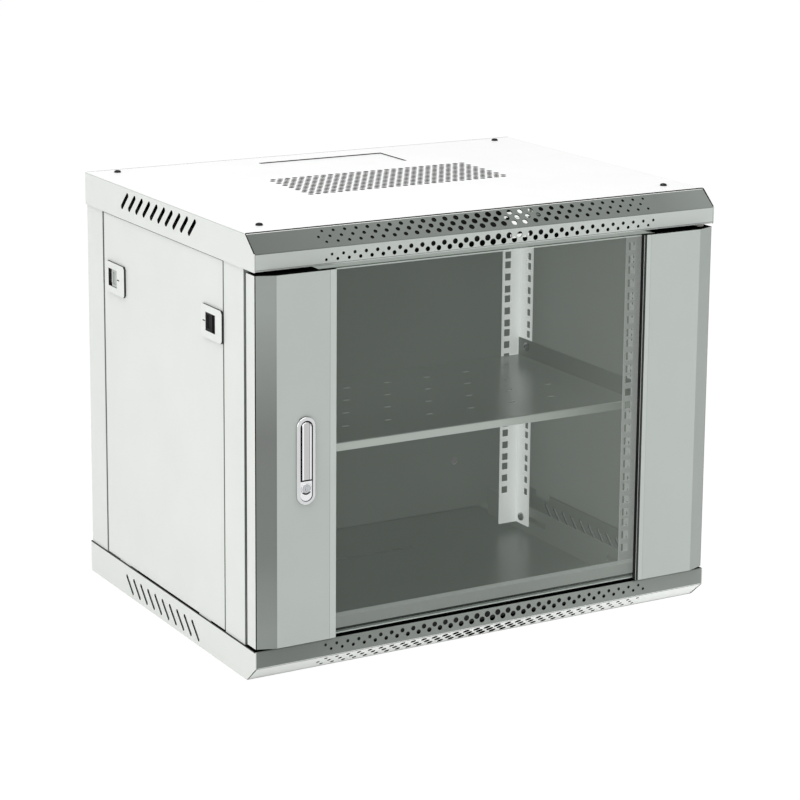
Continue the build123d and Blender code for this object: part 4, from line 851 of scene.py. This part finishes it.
def coverHeads():
    places = [Matrix.Translation((x, y, coverBox.top)) @ turnedBy(coverScrew["turn"] + x + y)
              for x in (-coverScrew["x"], coverScrew["x"]) for y in coverScrew["y"]]
    return repeated(panHead(*coverScrew["head"]), places)


makePiece("coverScrewHeads", coverHeads(), "cabinet", [blackSteel], ["cover_screws"])
makePiece("railBoltSet", joined(sideHeads(railBolt), nuts()), "cabinet", [zinc],
          ["rail_bolts"])
makePiece("shelfScrewHeads", sideHeads(shelfScrew), "cabinet", [zinc], ["shelf_screws"])
print("fasteners turned")


lock = {
    # each rim is the sides of its round ends, the radius of its front edge and the steps of that edge
    "flangeRim": (48, 1.3, 4), "blockRim": (32, 0.5, 2), "leverRim": (40, 2.0, 3),
    "flangeDepth": 3.0, "lap": 1.0, "slack": 0.1,
    "back": -222.0, "bodyLength": 94.0, "bodyWidth": 18.8, "overrun": 5.0,
    "recessFloor": -225.0, "recessLength": 90.5, "recessWidth": 15.2,
    "blockFront": -235.1, "blockTop": 227.35, "blockGap": 0.2,
    "sleeveRadius": 6.5, "sleeveLength": 14.0, "sleeveSink": 0.2, "sleeveSides": 24,
    # (radius, height) points: the collar round the key, and the key's plug with its groove
    "collar": [(5.15, 0), (5.15, 0.75), (5.6, 0.85), (6.3, 0.75), (6.6, 0.3), (6.6, -1.0), (5.15, -1.0),
               (5.15, 0)],
    "plug": [(0, 0.8), (4.5, 0.8), (5.0, 0.45), (5.0, 0), (4.25, 0), (4.25, -27.2), (0, -27.2)],
    "turnedSides": 32, "keyway": (1.2, 6.0, 6.0),
    # painted shade: the collar's lower part takes the near-black chrome
    "collarShade": 3.5,     # the collar is dark from here down, below the key's middle
}
housingBox = Box("lock_housing")
leverBox = Box("lock_lever")
plugBox = Box("key_plug")
lockX = (housingBox.left + housingBox.right) / 2
lockZ = (housingBox.bottom + housingBox.top) / 2
keyZ = (plugBox.bottom + plugBox.top) / 2


def stood(shape, depth, height):
    # turns a shape that faces +Z to the front and puts it on the lock's middle line
    place = Matrix.Translation((lockX, depth, height)) @ turnedBy(90, "X")
    bmesh.ops.transform(shape, matrix=place, verts=shape.verts)
    return shape


def obround(length, width, front, back, centreZ, sides=32, edge=0.0, steps=1):
    # an upright block with round ends between two depths; edge rounds its front rim
    shape = bmesh.new()
    bmesh.ops.create_circle(shape, segments=sides, radius=width / 2, cap_ends=True,
                            matrix=Matrix.Rotation(math.pi / sides, 4, "Z"))
    for vert in shape.verts:
        vert.co.y += math.copysign((length - width) / 2, vert.co.y)
    stood(shape, front, centreZ)
    grown = bmesh.ops.extrude_face_region(shape, geom=shape.faces[:])
    moved = [item for item in grown["geom"] if isinstance(item, bmesh.types.BMVert)]
    bmesh.ops.translate(shape, verts=moved, vec=(0, back - front, 0))
    bmesh.ops.recalc_face_normals(shape, faces=shape.faces)
    if edge:
        frontRim = [line for line in shape.edges
                    if all(abs(vert.co.y - front) < onRim for vert in line.verts)]
        bmesh.ops.bevel(shape, geom=frontRim, offset=edge, affect="EDGES", segments=steps, profile=0.5,
                        material=-1)
    return shape


def halved(shape, height, keepAbove):
    # the part of the shape above or below a height, closed with a flat face
    cutLine(shape, (0, 0, height), (0, 0, -1 if keepAbove else 1), clear_outer=True)
    bmesh.ops.holes_fill(shape, edges=[line for line in shape.edges if line.is_boundary], sides=0)
    return shape


def lockHousing():
    # a flange on the stile, the body behind it, the block round the key, its collar and its sleeve
    front = housingBox.front
    seat = front + lock["flangeDepth"]
    before, behind = front - lock["overrun"], lock["back"] + lock["overrun"]
    recess = (lock["recessLength"], lock["recessWidth"])
    sides, edge, steps = lock["flangeRim"]
    flange = obround(housingBox.top - housingBox.bottom, housingBox.right - housingBox.left, front, seat,
                     lockZ, sides, edge, steps)
    body = obround(lock["bodyLength"], lock["bodyWidth"], seat - lock["lap"], lock["back"], lockZ)
    housing = carve(flange, obround(*recess, before, behind, lockZ))
    body = carve(body, obround(*recess, before, lock["recessFloor"], lockZ))
    block = obround(recess[0] - lock["blockGap"], recess[1] - lock["blockGap"], lock["blockFront"],
                    lock["recessFloor"] + lock["lap"], lockZ, *lock["blockRim"])
    block = halved(block, lock["blockTop"], False)
    collar = stood(turned(lock["collar"], lock["turnedSides"]), lock["blockFront"], keyZ)
    radius, length = lock["sleeveRadius"], lock["sleeveLength"]
    sleeve = turned([(0, 0), (radius, 0), (radius, -length), (0, -length)], lock["sleeveSides"])
    stood(sleeve, lock["back"] - lock["sleeveSink"], keyZ)
    # the recess's faces take the near-black chrome, as painted shade
    for face in housing.faces:
        middle = face.calc_center_median()
        behindEdge = middle.y > front + edge + lock["slack"]
        inRecess = abs(middle.x - lockX) < recess[1] / 2 + lock["slack"]
        face.material_index = 1 if behindEdge and inRecess else 0
    # the block and the collar take the lighter chrome, as painted light; the body and the sleeve take the
    # near-black one
    for extra, ink in ((body, 1), (block, 2), (collar, 2), (sleeve, 1)):
        for face in extra.faces:
            underside = extra is collar and face.calc_center_median().z < keyZ - lock["collarShade"]
            face.material_index = 1 if underside else ink
        housing = joined(housing, extra)
    return housing


def lockLever():
    # its foot is flat and its head is round
    length = 2 * (leverBox.top - leverBox.bottom)
    lever = obround(length, leverBox.right - leverBox.left, leverBox.front, leverBox.rear, leverBox.bottom,
                    *lock["leverRim"])
    return halved(lever, leverBox.bottom, True)


def keyPlug():
    keyway = bmesh.new()
    bmesh.ops.create_cube(keyway, size=1, matrix=Matrix.Diagonal((*lock["keyway"], 1)))
    return stood(carve(turned(lock["plug"], lock["turnedSides"]), keyway), lock["blockFront"], keyZ)


makePiece("lockHousingShell", lockHousing(), "door", [chrome, lockShadow, litChrome],
          ["lock_housing"])
makePiece("lockLeverBar", lockLever(), "lever", [leverChrome], ["lock_lever"])
makePiece("keyPlugBody", keyPlug(), "lock_cylinder", [keyChrome], ["key_plug"])
print("lock built")


mostly = 0.5     # a face looks along an axis when its normal's share of it is larger


def dress(name, finishes, rule=None):
    # the rule names a finish for a face from its outward normal and centre, in millimetres
    mesh = nodes[name].data
    mesh.materials.clear()
    for finish in finishes:
        mesh.materials.append(finish.material)
    for polygon in mesh.polygons:
        polygon.material_index = rule(polygon.normal, polygon.center / mm) if rule else 0


stile = {
    "returnY": -226.0,     # the folds behind the face lie further back than this
    "flat": 0.9, "sloped": 0.15, "facing": 0.8,     # shares of a normal that tell its way
    "lockSeam": 213.2, "hingeSeam": 206.2,     # where the folded edge beside the glass starts
}
stileFace, stileSlope, stileEdge, stilePlain, stileShade = range(5)


def stileInk(outward, seam):
    # outward is -1 for the stile at the left and 1 for the stile at the right
    def rule(normal, centre):
        out = normal.x * outward
        if centre.y > stile["returnY"] and out < stile["flat"]:
            return stilePlain if normal.y > mostly else stileShade
        if out > stile["flat"]:
            return stilePlain
        if out > stile["sloped"]:
            return stileSlope
        if centre.x * outward < seam and normal.y < -stile["facing"]:
            return stileEdge
        if normal.y < -mostly:
            return stileFace
        if normal.y > mostly:
            return stilePlain
        return stileShade if normal.z > mostly else stileEdge
    return rule


def sideInk(normal, centre):
    # the sheet's outer face is pale and the face that looks inside takes the darker finish, as painted shade
    return 0 if normal.x * (1 if centre.x > 0 else -1) > mostly else 1


postDepth = 150     # the flanges at the front and the rear stand further from the middle than this


def postInk(normal, centre):
    # a post also shows its front or rear face
    shown = normal.y * (1 if centre.y > 0 else -1) > mostly and abs(centre.y) > postDepth
    return 2 if shown else sideInk(normal, centre)


bezelFace = 300.9     # the bezels' outer faces stand further out than this


# the bezels' outer faces are pale and their side walls near black
def bezelInk(normal, centre):
    return 0 if abs(centre.x) > bezelFace and abs(normal.x) > mostly else 1


stileFolds = [paint["doorEdge"], paint["frame"], paint["dark"]]
dress("lock_stile", [paint["door"], paint["doorSlope"]] + stileFolds, stileInk(-1, stile["lockSeam"]))
dress("hinge_stile", [paint["door"], paint["hingeSlope"]] + stileFolds, stileInk(1, stile["hingeSeam"]))
for name in ("lock_stile_caps", "hinge_stile_caps"):
    dress(name, [paint["door"], paint["dark"]], lambda normal, centre: 1 if normal.z > mostly else 0)
dress("door_glass", [glass, glassEdge], lambda normal, centre: 0 if abs(normal.y) > mostly else 1)
dress("left_panel", [paint["panel"], paint["inside"]], sideInk)
dress("right_panel", [paint["panel"], paint["panelInside"]], sideInk)
for side in ("left", "right"):
    dress("front_post_" + side, [paint["side"], paint["dark"], paint["doorSlope"]], postInk)
    dress("rear_post_" + side, [paint["side"], paint["backWall"], paint["frame"]], postInk)
    dress(side + "_latch_housings", [palePlastic, bezelSideDark], bezelInk)
    dress(side + "_front_latch", [frontLatchShade])
    dress(side + "_rear_latch", [greyPlastic])
dress("back_panel", [paint["frame"], paint["backWall"]],
      lambda normal, centre: 0 if normal.y > mostly else 1)
dress("top_sill", [paint["topSill"], paint["dark"]], lambda normal, centre: 0 if normal.y < -mostly else 1)
dress("bottom_sill", [paint["bottomSill"], paint["dark"]],
      lambda normal, centre: 0 if normal.y < -mostly or normal.z > mostly else 1)
dress("bottom_cable_plate", [paint["trayInside"], paint["frame"]],
      lambda normal, centre: 0 if normal.z > mostly else 1)
plain = (
    (paint["top"], ["top_cable_plate"]),
    (paint["inside"], ["front_corner_plates", "rear_corner_plates", "depth_rail_bottom_right"]),
    (paint["dark"], ["depth_rail_top_left", "depth_rail_top_right", "depth_rail_bottom_left"]),
    (tape, ["glass_tape"]), (nylon, ["hinge_bushes"]), (pinSteel, ["hinge_pins", "lever_pin"]),
    (zinc, ["lock_cam", "cam_screw", "cage_nuts"]),
)
for finish, names in plain:
    for name in names:
        dress(name, [finish])
print("CAD nodes dressed")


white = (1, 1, 1, 1)
studio = {
    "floorSize": 6.0, "floorColour": (0.86, 0.86, 0.86, 1), "floorRoughness": 0.9,
    "cleanShare": 0.94,     # how far the ground in the picture is replaced by a clean pale one
    "groundGlow": 1.04, "glowBehindGlass": 0.18,
    "skyLight": 0.72, "skySeen": 1.0,
    "aim": (0, 0, 0.25),
}
lamps = {
    "above": {"at": (-0.4, -0.3, 2.6), "size": 2.4, "power": 30},
    "left": {"at": (-2.6, -0.9, 1.2), "size": 1.8, "power": 14},
}


def paleGround():
    # a matt surface that shows the camera a clean pale ground and still takes the object's shadow
    finish = Finish("paleFloor", {
        "Base Color": studio["floorColour"], "Roughness": studio["floorRoughness"]})
    clean = finish.node("ShaderNodeEmission", {}, {"Color": white, "Strength": studio["groundGlow"]})
    dim = finish.node("ShaderNodeEmission", {}, {"Color": white, "Strength": studio["glowBehindGlass"]})
    shown = finish.mixed(finish.seen() * studio["cleanShare"], finish.shader, clean)
    # painted shade: seen through the glass, the ground shows only a dim glow
    panes = Signal(finish, finish.node("ShaderNodeLightPath").outputs["Transparent Depth"])
    shown = finish.mixed(panes.held(), shown, dim)
    finish.tree.links.new(shown.outputs[0], finish.tree.nodes["Material Output"].inputs["Surface"])
    return finish


def layFloor():
    shape = bmesh.new()
    bmesh.ops.create_grid(shape, x_segments=1, y_segments=1, size=studio["floorSize"])
    mesh = bpy.data.meshes.new("floor")
    shape.to_mesh(mesh)
    shape.free()
    mesh.materials.append(paleGround().material)
    placed("floor", mesh)


def hangSky():
    world = bpy.data.worlds.new("studio")
    bpy.context.scene.world = world
    world.use_nodes = True
    sky = Shading(world.node_tree)
    light = sky.tree.nodes["Background"]
    clean = sky.node("ShaderNodeBackground")
    for ground, strength in ((light, studio["skyLight"]), (clean, studio["skySeen"])):
        ground.inputs["Color"].default_value = white
        ground.inputs["Strength"].default_value = strength
    shown = sky.mixed(sky.seen(), light, clean)
    sky.tree.links.new(shown.outputs[0], sky.tree.nodes["World Output"].inputs["Surface"])


def hangLamp(name, lamp):
    light = bpy.data.lights.new(name, "AREA")
    light.shape = "DISK"
    light.size = lamp["size"]
    light.energy = lamp["power"]
    holder = placed(name, light)
    holder.location = lamp["at"]
    aim = Vector(studio["aim"]) - Vector(lamp["at"])
    holder.rotation_euler = aim.to_track_quat("-Z", "Y").to_euler()


layFloor()
hangSky()
for name, lamp in lamps.items():
    hangLamp(name, lamp)

view = {
    "from": (-1.49146, -2.60304, 1.02804), "azimuth": -30.365, "elevation": 11.701, "roll": 0.547,
    "lens": 115.91, "sensor": 36, "shiftX": -0.0242, "shiftY": -0.1767,
}
stand = Matrix.Translation(view["from"])
for angle, axis in ((view["azimuth"], "Z"), (90 - view["elevation"], "X"), (view["roll"], "Z")):
    stand = stand @ turnedBy(angle, axis)
camera = bpy.data.cameras.new("camera")
camera.sensor_width = view["sensor"]
camera.lens = view["lens"]
camera.shift_x = view["shiftX"]
camera.shift_y = view["shiftY"]
holder = placed("camera", camera)
holder.matrix_world = stand
bpy.context.scene.camera = holder
bpy.context.scene.view_settings.view_transform = "Standard"
print("stage, lamps and camera placed")
